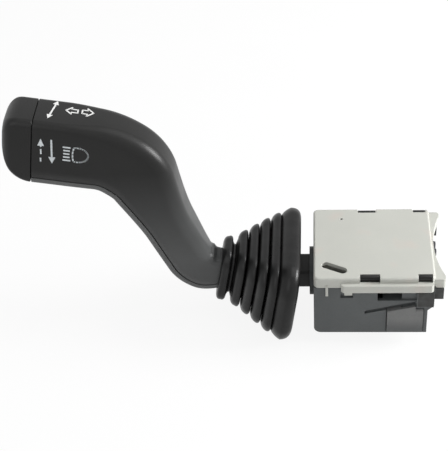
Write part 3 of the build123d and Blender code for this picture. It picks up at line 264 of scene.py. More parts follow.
class Graph(Tree):
    """Node tree of one material, with short calls for the nodes the finishes share."""

    def __init__(self, name: str) -> None:
        """Starts a tree that has only a Principled shader and its output."""
        self.material = bpy.data.materials.new(name)
        self.material.use_nodes = True
        super().__init__(self.material.node_tree)
        self.shader = self.nodes["Principled BSDF"]
        self.place = self.node("TexCoord").outputs["Object"]

    def noise(self, size_mm: float, detail: float = 2.0, stretch: Triple = (1, 1, 1)) -> Socket:
        """Noise in the piece's own coordinates.

        Args:
            size_mm: Size of its largest features.
            detail: Number of finer octaves.
            stretch: How many times finer it is along X, Y and Z.

        Returns:
            A factor around 0.5.
        """
        place = self.node("Mapping", {"Vector": self.place, "Scale": stretch}).outputs["Vector"]
        scale = 1 / (size_mm * MM)
        return self.node("TexNoise", {"Vector": place, "Scale": scale, "Detail": detail}).outputs["Fac"]

    def along(self, axis: str) -> Socket:
        """Place along an axis of the shared frame, in metres."""
        return self.node("SeparateXYZ", {0: self.place}).outputs[axis]

    def cells(self, size_mm: float) -> Socket:
        """Distance to the nearest of many scattered points, as in a spark-eroded tool face."""
        scale = 1 / (size_mm * MM)
        return self.node("TexVoronoi", {"Vector": self.place, "Scale": scale}).outputs["Distance"]

    def mix(self, factor: object, a: object, b: object) -> Socket:
        """Mixes two colours.

        Args:
            factor: 0 gives a and 1 gives b.
            a: First colour.
            b: Second colour.

        Returns:
            The mixed colour.
        """
        node = self.node("Mix", {"Factor": factor}, data_type="RGBA")
        for name, value in (("A", a), ("B", b)):
            socket = [s for s in node.inputs if s.name == name and s.type == "RGBA"][0]
            self.feed(socket, value if isinstance(value, Socket) else (*value, 1.0))
        return [s for s in node.outputs if s.type == "RGBA"][0]

    def soft_edge(self, radius_mm: float, samples: int = 6) -> Socket:
        """Surface direction with its sharp edges rounded by a small radius."""
        return self.node("Bevel", {"Radius": radius_mm * MM}, samples=samples).outputs["Normal"]

    def edges(self, soft: Socket, turned: float = 0.8, flat: float = 0.99) -> Socket:
        """1 along sharp edges and 0 on flat faces, from the cosine of the soft direction's turn."""
        plain = self.node("NewGeometry").outputs["True Normal"]
        dot = self.node("VectorMath", {0: soft, 1: plain}, operation="DOT_PRODUCT")
        return self.span(dot.outputs["Value"], 1.0, 0.0, turned, flat)

    def bump(self, height: Socket, depth_mm: float, normal: Socket | None = None) -> Socket:
        """Surface direction of a relief from 0 to 1 of this depth, over another direction."""
        under = {} if normal is None else {"Normal": normal}
        return self.node("Bump", {"Distance": depth_mm * MM, "Height": height, **under}).outputs["Normal"]

    def finish(self, **sockets: object) -> bpy.types.Material:
        """Feeds the shader and hands over the material.

        Args:
            **sockets: Values or sockets by the shader input's name, with underscores for spaces.

        Returns:
            The finished material.
        """
        for name, value in sockets.items():
            self.feed(self.shader.inputs[name.replace("_", " ")], value)
        return self.material


@dataclass(frozen=True)
class Moulded:
    """Injection-moulded plastic with a spark-eroded grain, and edges lighter from slight rubbing and from a
    painted highlight.
    """

    name: str
    colour: Colour
    drift: float = 0.1  # share by which the colour wanders over the piece
    grain_mm: float = 0.5
    grain_depth_mm: float = 0.012
    roughness: Pair = (0.42, 0.56)
    edge_mm: float = 0.35
    rub_and_highlight: float = 0.4  # how much lighter the edges are: slight rubbing and a painted edge highlight
    gloss: float = 0.3
    painted_fade_colour: Colour | None = None  # colour at the far end of a fade along Z that paints light and shade: shade on the lugs in the housing's windows and on the latch's lower part, light towards the lever's lower end
    painted_fade_mm: Pair = (78.0, 30.0)  # heights between which it fades
    blush: Colour | None = None  # colour of faint handling marks
    under_cover_shade: Colour | None = None  # colour of painted shade under the cover, at the column end
    under_cover_shade_mm: Pair = (31.7, 15.4)  # where it starts: X and Z
    under_cover_shade_edge_mm: float = 0.8
    cloud_mm: float = 22.0  # sizes of the marks: tone, specks, blush, painted shade under the cover, rubbing with painted edge highlight, waves, polish
    speck_mm: float = 0.9
    mark_mm: float = 11.0
    under_cover_shade_patch_mm: float = 3.0
    rub_and_highlight_mm: float = 4.0
    wave_mm: float = 14.0
    polish_mm: float = 9.0
    wave_depth_mm: float = 0.06

    def shade(self, share: float) -> Colour:
        """The colour, lighter or darker by a share."""
        return tuple(min(channel * (1 + share), 1.0) for channel in self.colour)

    def under_cover_shade_share(self, graph: Graph) -> Socket:
        """Share of painted shade under the cover: broken patches, past its start along X and above it along
        Z.
        """
        share = graph.span(graph.noise(self.under_cover_shade_patch_mm, 4.0), 0.6, 1.0)
        for axis, start in zip("XZ", self.under_cover_shade_mm):
            edge = graph.span(graph.along(axis), 0.0, 1.0, start * MM, (start + self.under_cover_shade_edge_mm) * MM)
            share = graph.math("MULTIPLY", edge, share)
        return share

    def material(self) -> bpy.types.Material:
        """Builds the material: wandering tone, painted light and shade, grain relief, hand-polished patches,
        and edges lighter from rubbing and a painted highlight.

        Returns:
            The material.
        """
        graph = Graph(self.name)
        soft = graph.soft_edge(self.edge_mm)
        cloud = graph.span(graph.noise(self.cloud_mm, 3.0), 0.0, 1.0)
        speck = graph.span(graph.noise(self.speck_mm, 4.0), 0.0, 0.35, 0.45, 0.75)
        tone = graph.mix(cloud, self.shade(-self.drift), self.shade(self.drift))
        tone = graph.mix(speck, tone, self.shade(-2 * self.drift))
        # painted light and shade: the tone fades along Z towards the painted fade colour
        if self.painted_fade_colour:
            start, end = (height * MM for height in self.painted_fade_mm)
            tone = graph.mix(graph.span(graph.along("Z"), 0.0, 1.0, start, end), tone, self.painted_fade_colour)
        if self.blush:
            marks = graph.span(graph.noise(self.mark_mm, 1.0), 0.0, 0.5, 0.58, 0.72)
            tone = graph.mix(marks, tone, self.blush)
        # painted shade under the cover, at the right end
        if self.under_cover_shade:
            tone = graph.mix(self.under_cover_shade_share(graph), tone, self.under_cover_shade)
        # edges lighter in patches: slight rubbing, and a painted edge highlight
        wear = graph.span(graph.noise(self.rub_and_highlight_mm, 3.0), 0.2, 1.0)
        tone = graph.mix(graph.math("MULTIPLY", graph.edges(soft), wear), tone, self.shade(self.rub_and_highlight))
        grain = graph.math("ADD", graph.cells(self.grain_mm), graph.noise(self.grain_mm * 2.2, 3.0))
        waves = graph.bump(graph.noise(self.wave_mm, 1.0), self.wave_depth_mm, soft)
        normal = graph.bump(grain, self.grain_depth_mm, waves)
        rough = graph.span(graph.noise(self.polish_mm, 3.0), *self.roughness)
        return graph.finish(Base_Color=tone, Roughness=rough, Normal=normal, Specular_IOR_Level=self.gloss)


@dataclass(frozen=True)
class Rubber:
    """Moulded rubber: matt, a little dusty in patches, with a soft sheen that wanders over it."""

    name: str
    colour: Colour
    bloom: Colour  # colour of the dust
    roughness: Pair = (0.27, 0.4)
    gloss: float = 0.25
    patch_mm: float = 7.0  # sizes of the marks: dusty patches, dust, flow lines, pits, sheen
    dust_mm: float = 0.5
    flow_mm: float = 5.0
    pit_mm: float = 0.45
    sheen_mm: float = 6.0
    flow_depth_mm: float = 0.12
    pit_depth_mm: float = 0.02

    def material(self) -> bpy.types.Material:
        """Builds the material: pale bloom in patches, fine pits and soft flow lines.

        Returns:
            The material.
        """
        graph = Graph(self.name)
        patches = graph.span(graph.noise(self.patch_mm, 5.0), 0.0, 0.55, 0.45, 0.75)
        dust = graph.span(graph.noise(self.dust_mm, 3.0), 0.0, 0.25, 0.55, 0.8)
        tone = graph.mix(dust, graph.mix(patches, self.colour, self.bloom), self.bloom)
        flow = graph.bump(graph.noise(self.flow_mm, 2.0, (0.4, 1.0, 1.0)), self.flow_depth_mm)
        pits = graph.bump(graph.noise(self.pit_mm, 4.0), self.pit_depth_mm, flow)
        rough = graph.span(graph.noise(self.sheen_mm, 3.0), *self.roughness)
        return graph.finish(Base_Color=tone, Roughness=rough, Normal=pits, Specular_IOR_Level=self.gloss)


@dataclass(frozen=True)
class Metal:
    """Rolled, drawn or ground metal with fine scratches along one direction."""

    name: str
    colour: Colour
    tarnish: Colour
    stretch: Triple = (1.0, 14.0, 14.0)  # how many times finer a scratch is along X, Y and Z
    roughness: Pair = (0.22, 0.42)
    scratch_mm: float = 2.5
    scratch_depth_mm: float = 0.006
    tarnish_mm: float = 3.0
    edge_mm: float = 0.08

    def material(self) -> bpy.types.Material:
        """Builds the material: tarnish in patches and scratches in colour, gloss and relief.

        Returns:
            The material.
        """
        graph = Graph(self.name)
        lines = graph.noise(self.scratch_mm, 3.0, self.stretch)
        tarnish = graph.span(graph.noise(self.tarnish_mm, 4.0), 0.0, 0.6)
        tone = graph.mix(tarnish, self.colour, self.tarnish)
        normal = graph.bump(lines, self.scratch_depth_mm, graph.soft_edge(self.edge_mm))
        rough = graph.span(lines, *self.roughness)
        return graph.finish(Base_Color=tone, Roughness=rough, Normal=normal, Metallic=1.0)


@dataclass(frozen=True)
class Ink:
    """Pad-printed ink, a little thin in places."""

    name: str
    colour: Colour
    thin: Colour  # colour where it is thin
    patch_mm: float = 0.7
    grain_mm: float = 0.5
    grain_depth_mm: float = 0.008
    gloss_mm: float = 1.5
    roughness: Pair = (0.4, 0.6)

    def material(self) -> bpy.types.Material:
        """Builds the material: uneven cover, with the grain of the plastic showing through.

        Returns:
            The material.
        """
        graph = Graph(self.name)
        patches = graph.span(graph.noise(self.patch_mm, 4.0), 0.0, 0.6, 0.45, 0.8)
        tone = graph.mix(patches, self.colour, self.thin)
        normal = graph.bump(graph.cells(self.grain_mm), self.grain_depth_mm)
        rough = graph.span(graph.noise(self.gloss_mm, 2.0), *self.roughness)
        return graph.finish(Base_Color=tone, Roughness=rough, Normal=normal)


class Finish(Enum):
    """Every finish on the switch."""

    COVER = Moulded(
        "cover_grey", (0.465, 0.47, 0.433), drift=0.03, grain_depth_mm=0.006, rub_and_highlight=0.3, blush=(0.49, 0.44, 0.4)
    )
    HOUSING = Moulded(
        "housing_grey", (0.082, 0.088, 0.089), rub_and_highlight=0.6,
        # painted shade: near black above Z 27 mm, on the lugs seen in the cover's windows, and darker patches
        # under the cover at the right end
        painted_fade_colour=(0.009, 0.009, 0.0085), painted_fade_mm=(26.3, 27.2), under_cover_shade=(0.028, 0.027, 0.025),
    )
    LATCH = Moulded(
        # painted shade: darker below Z 9 mm, towards the latch's lower edge
        "latch_grey", (0.14, 0.142, 0.14), rub_and_highlight=0.5, painted_fade_colour=(0.088, 0.092, 0.093), painted_fade_mm=(9.0, 3.0)
    )
    LEVER = Moulded(
        "lever_black", (0.011, 0.011, 0.0107), grain_mm=0.4, edge_mm=0.25, rub_and_highlight=0.5,
        # painted light: lighter from Z 78 mm down to Z 30 mm, towards the lever's lower end
        gloss=0.24, roughness=(0.33, 0.42), painted_fade_colour=(0.072, 0.074, 0.074),
    )
    STRIP = Moulded("lever_grey", (0.105, 0.107, 0.107), grain_mm=0.4, edge_mm=0.25, rub_and_highlight=0.35)
    # painted shade: near black noses that stand for the dark of the cover's windows
    CATCH_AND_SHADE = Moulded("catch_black_and_shade", (0.01, 0.01, 0.0098))
    STEM = Moulded("stem_black", (0.016, 0.016, 0.0155))
    SLIDER = Moulded(
        "slider_white", (0.62, 0.61, 0.56), drift=0.04, grain_depth_mm=0.003, roughness=(0.28, 0.4), rub_and_highlight=0.05
    )
    BOARD = Moulded("board_black", (0.045, 0.045, 0.05))
    BELLOWS = Rubber("bellows_rubber", (0.005, 0.005, 0.0051), (0.014, 0.014, 0.014))
    STEEL = Metal("ground_steel", (0.56, 0.57, 0.58), (0.42, 0.42, 0.42))
    WIRE = Metal("spring_wire", (0.42, 0.42, 0.43), (0.28, 0.27, 0.26))
    BRASS = Metal("rolled_brass", (0.78, 0.6, 0.3), (0.55, 0.4, 0.2))
    WHITE_INK = Ink("white_ink", (0.8, 0.8, 0.79), (0.5, 0.5, 0.5))
    PALE_INK = Ink("pale_ink", (0.62, 0.66, 0.68), (0.38, 0.41, 0.43))


class Wardrobe:
    """Puts finishes on pieces, and builds each one only once."""

    NODES: dict[Finish, tuple[str, ...]] = {
        Finish.COVER: ("top_cover",),
        Finish.HOUSING: ("lower_housing", "pawl_guide"),
        Finish.LATCH: ("release_latch",),
        Finish.STEM: ("lever_stem",),
        Finish.SLIDER: (
            "turn_carrier", "turn_plunger", "dip_plunger", "turn_detent_track",
            "turn_slider", "dip_slider", "pawl_carriage",
        ),
        Finish.BOARD: ("terminal_block", "contact_board", "cancel_pawl"),
        Finish.STEEL: ("dip_pin",),
        Finish.BRASS: ("terminal_blades", "fixed_contacts", "bridge_contacts", "dip_contact_leaf"),
    }

    def __init__(self) -> None:
        """Starts with no material built."""
        self.built: dict[Finish, bpy.types.Material] = {}

    def material(self, finish: Finish) -> bpy.types.Material:
        """The finish's material, built when it is first asked for."""
        if finish not in self.built:
            self.built[finish] = finish.value.material()
        return self.built[finish]

    def wear(self, piece: Piece, finish: Finish) -> None:
        """Gives a new piece one finish all over."""
        piece.data.materials.append(self.material(finish))

    def dress_nodes(self, nodes: dict[str, Piece]) -> None:
        """Gives every node that isn't replaced its finish.

        Args:
            nodes: The frame's nodes by name.
        """
        for finish, names in self.NODES.items():
            for name in names:
                for slot in nodes[name].material_slots:
                    slot.material = self.material(finish)


@dataclass(frozen=True)
class LeverForm:
    """Centre line and sections of the lever, in millimetres.

    The line lies in the XZ plane: three straight legs, joined by two arcs.
    """

    start: Pair = (-126.1, 88.8)
    legs: Triple = (39.4, 67.8, 14.6)
    tilts: Triple = (9.7, 69.6, 6.2)  # downward, in degrees
    radii: Pair = (24.4, 13.2)
    paddle_height: float = 30.9
    swell_height: float = 30.3
    shank_height: float = 20.3
    end_height: float = 16.2
    paddle_depth: float = 19.8
    end_depth: float = 11.6
    crest_radius: float = 3.0
    crest_loss: float = 0.5
    crest_swell: float = 3.2
    swell_share: Pair = (0.12, 0.32)  # shares of the length over which each change runs
    waist_share: Pair = (0.32, 0.66)
    end_share: Pair = (0.9, 0.965)
    depth_share: Pair = (0.54, 1.0)
    crest_rise: Pair = (0.1, 0.32)
    crest_fall: Pair = (0.75, 1.0)
    crest_thin: Pair = (0.5, 1.0)

    def bends(self) -> list[Triple]:
        """Works out the two arcs.

        Returns:
            Where each starts along the line, its radius and the angle it turns, in radians.
        """
        tilts = np.radians(self.tilts)
        turns = np.diff(tilts)
        cuts = [radius * math.tan(abs(turn) / 2) for radius, turn in zip(self.radii, turns)]
        first = self.legs[0] - cuts[0]
        second = first + self.radii[0] * abs(turns[0]) + self.legs[1] - cuts[0] - cuts[1]
        return [(first, self.radii[0], turns[0]), (second, self.radii[1], turns[1])]

    def length(self) -> float:
        """Length of the whole line."""
        start, radius, turn = self.bends()[1]
        return start + radius * abs(turn) + self.legs[2] - radius * math.tan(abs(turn) / 2)

    def fall(self, s: Array) -> Array:
        """Downward tilt of the line, which grows or shrinks evenly on each arc.

        Args:
            s: Distances along the line.

        Returns:
            Tilt at each, in radians.
        """
        tilt = np.full_like(s, math.radians(self.tilts[0]))
        for start, radius, turn in self.bends():
            tilt = tilt + math.copysign(1, turn) * np.clip((s - start) / radius, 0, abs(turn))
        return tilt

    def line(self, s: Array) -> tuple[Array, Array]:
        """X and Z at distances along the line: the running sum of the tilt's cosine and sine.

        Args:
            s: Distances from the cap joint; below 0 the first leg runs on.

        Returns:
            X and Z of each point.
        """
        fine = np.linspace(0, self.length(), 4001)
        middle = self.fall((fine[:-1] + fine[1:]) / 2)
        step = fine[1] - fine[0]
        x = np.concatenate([[0], np.cumsum(np.cos(middle))]) * step + self.start[0]
        z = np.concatenate([[0], np.cumsum(-np.sin(middle))]) * step + self.start[1]
        tilt = math.radians(self.tilts[0])
        before = np.minimum(s, 0)
        x, z = np.interp(s, fine, x), np.interp(s, fine, z)
        return x + before * math.cos(tilt), z - before * math.sin(tilt)

    def place(self, s: Array, across: Array, up: Array) -> Array:
        """Points given along, across and above the centre line.

        X is the line's X plus up times the sine of the tilt, Y is across, and Z is the line's Z
        plus up times the cosine of the tilt.

        Args:
            s: Distance along the line.
            across: Distance along Y.
            up: Distance from the line, square to it.

        Returns:
            Array that ends in XYZ.
        """
        s, across, up = np.broadcast_arrays(s, across, up)
        x, z = self.line(s)
        tilt = self.fall(s)
        return np.stack([x + up * np.sin(tilt), across, z + up * np.cos(tilt)], axis=-1)

    def height(self, s: Array) -> Array:
        """Height of the section: it thins past the first bend, and again at the small end.

        Args:
            s: Distances along the line.

        Returns:
            Height at each.
        """
        t = s / self.length()
        swell = (self.swell_height - self.paddle_height) * smoothstep(t, *self.swell_share)
        waist = (self.swell_height - self.shank_height) * smoothstep(t, *self.waist_share)
        end = (self.shank_height - self.end_height) * smoothstep(t, *self.end_share)
        return self.paddle_height + swell - waist - end

    def depth(self, s: Array) -> Array:
        """Depth of the section: it shrinks smoothly to the small end."""
        loss = (self.paddle_depth - self.end_depth) * smoothstep(s / self.length(), *self.depth_share)
        return self.paddle_depth - loss

    def crest(self, s: Array) -> Array:
        """Radius of the upper corners: they are softer round the first bend and down the shank.

        Args:
            s: Distances along the line.

        Returns:
            Radius at each.
        """
        t = s / self.length()
        swell = smoothstep(t, *self.crest_rise) * (1 - smoothstep(t, *self.crest_fall))
        loss = self.crest_loss * smoothstep(t, *self.crest_thin)
        return self.crest_radius + self.crest_swell * swell - loss


@dataclass
class Lever:
    """The lever's main shell, closing strip and end cap."""

    form: LeverForm = LeverForm()
    rows: int = 150
    bend_steps: int = 12
    strip_height: float = 3.0
    seam: float = 0.45  # open height between the strip and the main shell
    wall: float = 2.0
    lip: float = 0.3  # round on the edges along the seam and the cap joint
    sill_inset: float = 1.2  # the sills lie this far inside the surface
    sill_gap: float = 0.05
    core: float = 0.3  # least half width that the cap's corners leave between them
    keel_radius: float = 2.0
    cap_length: float = 12.85
    cap_gap: float = 0.35
    cap_top_round: float = 6.5
    cap_low_round: float = 12.5
    cap_edge: float = 4.4
    cap_soften: Pair = (0.5, 0.2)  # growth of its lower and upper corners as it draws in
    cap_step: float = 0.2  # least step from the rings of its lip to the next one

    def stations(self) -> Array:
        """Places of the rings, with a few close together at both ends.

        Returns:
            Column of distances along the line.
        """
        ends = self.lip * (1 - np.cos(quarter(4)))
        length = self.form.length()
        middle = np.linspace(self.lip, length - self.lip, self.rows)
        return np.concatenate([ends[:-1], middle, length - ends[::-1][1:]])[:, None]

    def tuck(self, s: Array) -> Array:
        """How far the skin draws in at the ends, on a quarter circle of the lip's radius."""
        return sag(self.lip, self.lip - np.minimum(s, self.form.length() - s))

    def arch(self, s: Array) -> Array:
        """Hollow section of the main shell at each distance: an upside-down U.

        The outside is two sides, two quarter circles and the crest; the inside is the same
        shape, drawn in by the wall.

        Args:
            s: Column of distances along the line.

        Returns:
            Array of rings by points by (across, up).
        """
        half = self.form.depth(s) / 2 - self.tuck(s)
        high = self.form.height(s) / 2 - self.tuck(s)
        low = self.strip_height + self.seam - self.form.height(s) / 2
        corner = self.form.crest(s) - self.tuck(s)
        bend = quarter(self.bend_steps)
        lip = quarter(3)[:-1]
        rise = np.linspace(0, 1, 7)[1:-1]
        foot_y = half - self.lip + self.lip * np.sin(lip)
        foot_z = low + self.lip - self.lip * np.cos(lip)
        side_y = half + 0 * rise
        side_z = low + self.lip + (high - corner - low - self.lip) * rise
        bend_y = half - corner + corner * np.cos(bend)
        bend_z = high - corner + corner * np.sin(bend)
        across, up = np.hstack([foot_y, side_y, bend_y]), np.hstack([foot_z, side_z, bend_z])
        right = np.stack([across, up], axis=-1)
        left = right[:, ::-1] * (-1, 1)
        outer = np.concatenate([right, left], axis=1)
        keep_y = (half - self.wall) / half
        keep_z = (high - self.wall - low) / (high - low)
        inner = np.stack([outer[..., 0] * keep_y, low + (outer[..., 1] - low) * keep_z], axis=-1)
        return np.concatenate([outer, inner[:, ::-1]], axis=1)

    def shell(self) -> Piece:
        """Main shell: the arch carried along the centre line."""
        section = self.arch(self.stations())
        solid = self.form.place(self.stations(), section[..., 0], section[..., 1])
        return Shape.rings("lever_skin", [solid], 50)

    def strip(self) -> Piece:
        """Closing strip: a low section with rounded lower corners and a sill that shuts the seam.

        Returns:
            The piece.
        """
        s = self.stations()
        half = self.form.depth(s) / 2 - self.tuck(s)
        low = self.tuck(s) - self.form.height(s) / 2
        top = self.strip_height - self.form.height(s) / 2
        keel, lip = self.keel_radius, self.lip
        bend, edge = quarter(10), quarter(3)
        sill = half - self.sill_inset
        sill_top = top + self.seam - self.sill_gap
        right_y = np.hstack([half - keel + keel * np.sin(bend), half - lip + lip * np.cos(edge), sill, sill])
        right_z = np.hstack([low + keel - keel * np.cos(bend), top - lip + lip * np.sin(edge), top, sill_top])
        across, up = np.hstack([right_y, -right_y[:, ::-1]]), np.hstack([right_z, right_z[:, ::-1]])
        solid = self.form.place(s, across, up)
        return Shape.rings("lever_strip", [solid], 50)

    def cap(self) -> Piece:
        """End cap: a sill that shuts the joint, then rings that shrink on quarter circles.

        The top shrinks on a small circle, the underside on one nearly as large as the cap is
        long, and the two sides on a third one. All three end at the cap's length.

        Returns:
            The piece.
        """
        lip = self.cap_gap + self.lip * (1 - np.cos(quarter(4)))
        bend = self.cap_length * np.sin(quarter(40))
        u = np.concatenate([lip, bend[bend > lip[-1] + self.cap_step]])
        tuck = sag(self.lip, self.lip + self.cap_gap - u)
        rounds = (self.cap_top_round, self.cap_low_round, self.cap_edge)
        top, under, side = (sag(radius, u - self.cap_length + radius) for radius in rounds)
        high = self.form.paddle_height / 2 - top - tuck
        low = under + tuck - self.form.paddle_height / 2
        half = self.form.paddle_depth / 2 - side - tuck
        room = np.minimum(half, (high - low) / 2) - self.core
        keel = np.minimum(self.keel_radius + under * self.cap_soften[0], room)
        crest = np.minimum(self.form.crest_radius + top * self.cap_soften[1], room)
        inset = np.full(2, self.sill_inset)
        tall, deep = self.form.paddle_height / 2 - inset, self.form.paddle_depth / 2 - inset
        sill = Shape.rounded_ring(deep, (-tall, tall), (inset, inset))
        ring = np.concatenate([sill, Shape.rounded_ring(half, (low, high), (keel, crest))])
        u = np.concatenate([[self.sill_gap, self.cap_gap], u])
        solid = self.form.place(-u[:, None], ring[..., 0], ring[..., 1])
        return Shape.rings("lever_cap", [solid], 50)

    def build(self, wardrobe: Wardrobe) -> Iterator[Piece]:
        """Builds the three pieces, dresses them and lets them ride on the lever.

        Args:
            wardrobe: Where their finishes come from.

        Yields:
            Each piece.
        """
        for make, node, slot, finish in (
            (self.shell, "lever_upper_shell", "lever_black", Finish.LEVER),
            (self.strip, "lever_lower_shell", "lever_grey", Finish.STRIP),
            (self.cap, "lever_end_cap", "lever_black", Finish.LEVER),
        ):
            piece = make()
            wardrobe.wear(piece, finish)
            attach(piece, "lever")
            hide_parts(node)
            yield piece


class Side(Enum):
    """Faces of the paddle that carry print, with the names of the printed pieces."""

    FRONT = "front_symbols"
    CREST = "crest_symbols"


@dataclass
class Symbols:
    """Printed symbols on one face of the paddle, drawn with strokes in millimetres.

    On the front face a point is (along, up) from the cap joint on the centre line, and on the
    crest it is (along, across).
    """

    side: Side
    form: LeverForm = LeverForm()
    film: float = 0.05  # how far the slabs reach above and below the surface
    line: float = 0.62
    point: float = 0.05  # width of an arrow's point
    lap: float = 0.42  # share of its width by which a stroke runs past its ends
    neck_lap: float = 0.1  # how far a shaft runs into its head
    # Crest: tip, base, end, middle and spread of each turn arrow, then the throw's double arrow.
    turn_arrows: tuple[Row, Row] = ((11.9, 14.2, 16.7, 2.15, 2.25), (23.1, 20.6, 18.5, 2.4, 2.55))
    shaft_share: float = 0.47
    throw_tips: tuple[Pair, Pair] = ((5.4, -4.9), (7.75, 7.7))
    throw_head: Pair = (2.7, 2.5)
    throw_line: float = 0.7
    # Front: dashed arrow up, arrow down, then the headlamp's beams, bowl and back.
    up_head: tuple[Pair, Pair] = ((3.68, 5.0), (3.58, 8.5))
    up_head_width: float = 2.7
    up_dashes: tuple[tuple[Pair, Pair], ...] = (
        ((3.7, 5.0), (3.69, 4.5)), ((3.75, 3.3), (3.85, 0.8)), ((3.75, -1.1), (3.85, -3.0))
    )
    down_ends: tuple[Pair, Pair] = ((7.88, 8.6), (8.5, -3.3))
    down_head: Pair = (3.2, 2.9)
    down_line: float = 0.72
    beams: tuple[Pair, ...] = ((12.65, 15.8), (12.9, 15.6), (12.95, 15.5), (12.9, 15.6), (12.75, 15.95))
    beam_top: float = 5.72
    beam_pitch: float = 1.63
    beam_line: float = 0.7
    bowl_centre: Pair = (18.1, 2.42)
    bowl_size: Pair = (5.0, 3.62)
    bowl_power: float = 0.85  # under 1 it makes the bowl blunter than an ellipse
    back: tuple[Pair, ...] = ((17.1, -0.95), (16.8, 0.8), (16.72, 2.5), (16.85, 4.3), (17.15, 5.9))

    def lay(self, along: Array, other: Array, lift: float) -> Array:
        """Places points on the face, lifted off it.

        On the front, Y is minus half the depth. On the crest, a point past the flat stretch goes
        round the corner by its distance over the corner's radius.

        Args:
            along: Distance from the cap joint.
            other: Up on the front, across on the crest.
            lift: Distance above the surface.

        Returns:
            Array that ends in XYZ.
        """
        half, high = self.form.depth(along) / 2, self.form.height(along) / 2
        if self.side is Side.FRONT:
            return self.form.place(along, -(half + lift), other)
        corner = self.form.crest(along)
        flat = half - corner
        angle = np.maximum(np.abs(other) - flat, 0) / corner
        reach = np.minimum(np.abs(other), flat) + (corner + lift) * np.sin(angle)
        return self.form.place(along, np.sign(other) * reach, high - corner + (corner + lift) * np.cos(angle))

    def patch(self, a: Pair | Array, b: Pair | Array, widths: Pair, steps: int = 12) -> Array:
        """One stroke from a to b as a thin closed slab.

        Each ring holds five points across the top of the slab and five back across its bottom.

        Args:
            a: Where it starts.
            b: Where it ends.
            widths: Its width at both ends.
            steps: Rings along it.

        Returns:
            Array of rings by points by XYZ.
        """
        a, b = np.asarray(a, float), np.asarray(b, float)
        run = (b - a) / np.linalg.norm(b - a)
        square = np.array([-run[1], run[0]])
        t = np.linspace(0, 1, steps)[:, None, None]
        wide = (widths[0] + (widths[1] - widths[0]) * t) / 2
        slide = np.linspace(-1, 1, 5)[None, :, None]
        flat = a + (b - a) * t + square * wide * slide
        top = self.lay(flat[..., 0], flat[..., 1], self.film)
        bottom = self.lay(flat[..., 0], flat[..., 1], -self.film)
        return np.concatenate([top, bottom[:, ::-1]], axis=1)

    def stroke(self, points: list[Pair], width: float) -> list[Array]:
        """Strokes along a run of points, each carried nearly half a width past its ends.

        Args:
            points: Points of the run.
            width: Width of the strokes.

        Returns:
            The slabs.
        """
        out = []
        for a, b in zip(points, points[1:]):
            run = np.subtract(b, a) / np.linalg.norm(np.subtract(b, a)) * width * self.lap
            out.append(self.patch(a - run, b + run, (width, width)))
        return out

    def arrow(self, tail: Pair | Array, tip: Pair | Array, head: Pair, width: float) -> list[Array]:
        """A shaft and a solid head.

        Args:
            tail: Where the shaft starts.
            tip: Point of the head.
            head: Length and width of the head.
            width: Width of the shaft.

        Returns:
            The slabs.
        """
        tail, tip = np.array(tail, float), np.array(tip, float)
        run = (tip - tail) / np.linalg.norm(tip - tail)
        neck = tip - run * head[0]
        return [
            self.patch(tail, neck + run * self.neck_lap, (width, width)),
            self.patch(neck, tip, (head[1], self.point)),
        ]

    def open_arrow(self, tip: float, base: float, end: float, middle: float, spread: float) -> list[Array]:
        """Outline of a fat arrow along the crest.

        Args:
            tip: Where its point is, along the paddle.
            base: Where its head meets its shaft.
            end: Where its shaft ends.
            middle: Its axis, across the paddle.
            spread: Half the width of its head.

        Returns:
            The slabs.
        """
        shaft = spread * self.shaft_share
        half = [(end, -shaft), (base, -shaft), (base, -spread)]
        points = [*half, (tip, 0), *((u, -v) for u, v in half[::-1]), half[0]]
        return self.stroke([(u, middle + v) for u, v in points], self.line)

    def crest_marks(self) -> list[Array]:
        """Two fat outline arrows for the turn signals, and the double arrow of the lever's throw.

        Returns:
            The slabs.
        """
        slabs = [slab for arrow in self.turn_arrows for slab in self.open_arrow(*arrow)]
        near, painted_fade_colour = (np.array(tip) for tip in self.throw_tips)
        for tip, tail in ((near, painted_fade_colour), (painted_fade_colour, near)):
            slabs += self.arrow((tip + tail) / 2, tip, self.throw_head, self.throw_line)
        return slabs

    def front_marks(self) -> list[Array]:
        """Dashed arrow up, solid arrow down, and a headlamp with five beams.

        The bowl is a blunt ellipse: x = a times cos t to a power, and z = b times sin t.

        Returns:
            The slabs.
        """
        slabs = [self.patch(*self.up_head, (self.up_head_width, self.point))]
        slabs += [self.patch(*dash, (self.line, self.line)) for dash in self.up_dashes]
        slabs += self.arrow(*self.down_ends, self.down_head, self.down_line)
        for k, (start, end) in enumerate(self.beams):
            up = self.beam_top - self.beam_pitch * k
            slabs.append(self.patch((start, up), (end, up), (self.beam_line, self.beam_line)))
        (x, z), (a, b) = self.bowl_centre, self.bowl_size
        angle = np.linspace(-math.pi / 2, math.pi / 2, 17)
        bowl = [(x + a * math.cos(t) ** self.bowl_power, z + b * math.sin(t)) for t in angle]
        slabs += self.stroke([self.back[0], *bowl, self.back[-1]], self.line)
        return slabs + self.stroke(self.back, self.line)

    def build(self, wardrobe: Wardrobe) -> Iterator[Piece]:
        """Prints the face.

        Args:
            wardrobe: Where its finish comes from.

        Yields:
            The piece.
        """
        front = self.side is Side.FRONT
        piece = Shape.rings(self.side.value, self.front_marks() if front else self.crest_marks(), 30)
        wardrobe.wear(piece, Finish.PALE_INK if front else Finish.WHITE_INK)
        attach(piece, "lever")
        yield piece


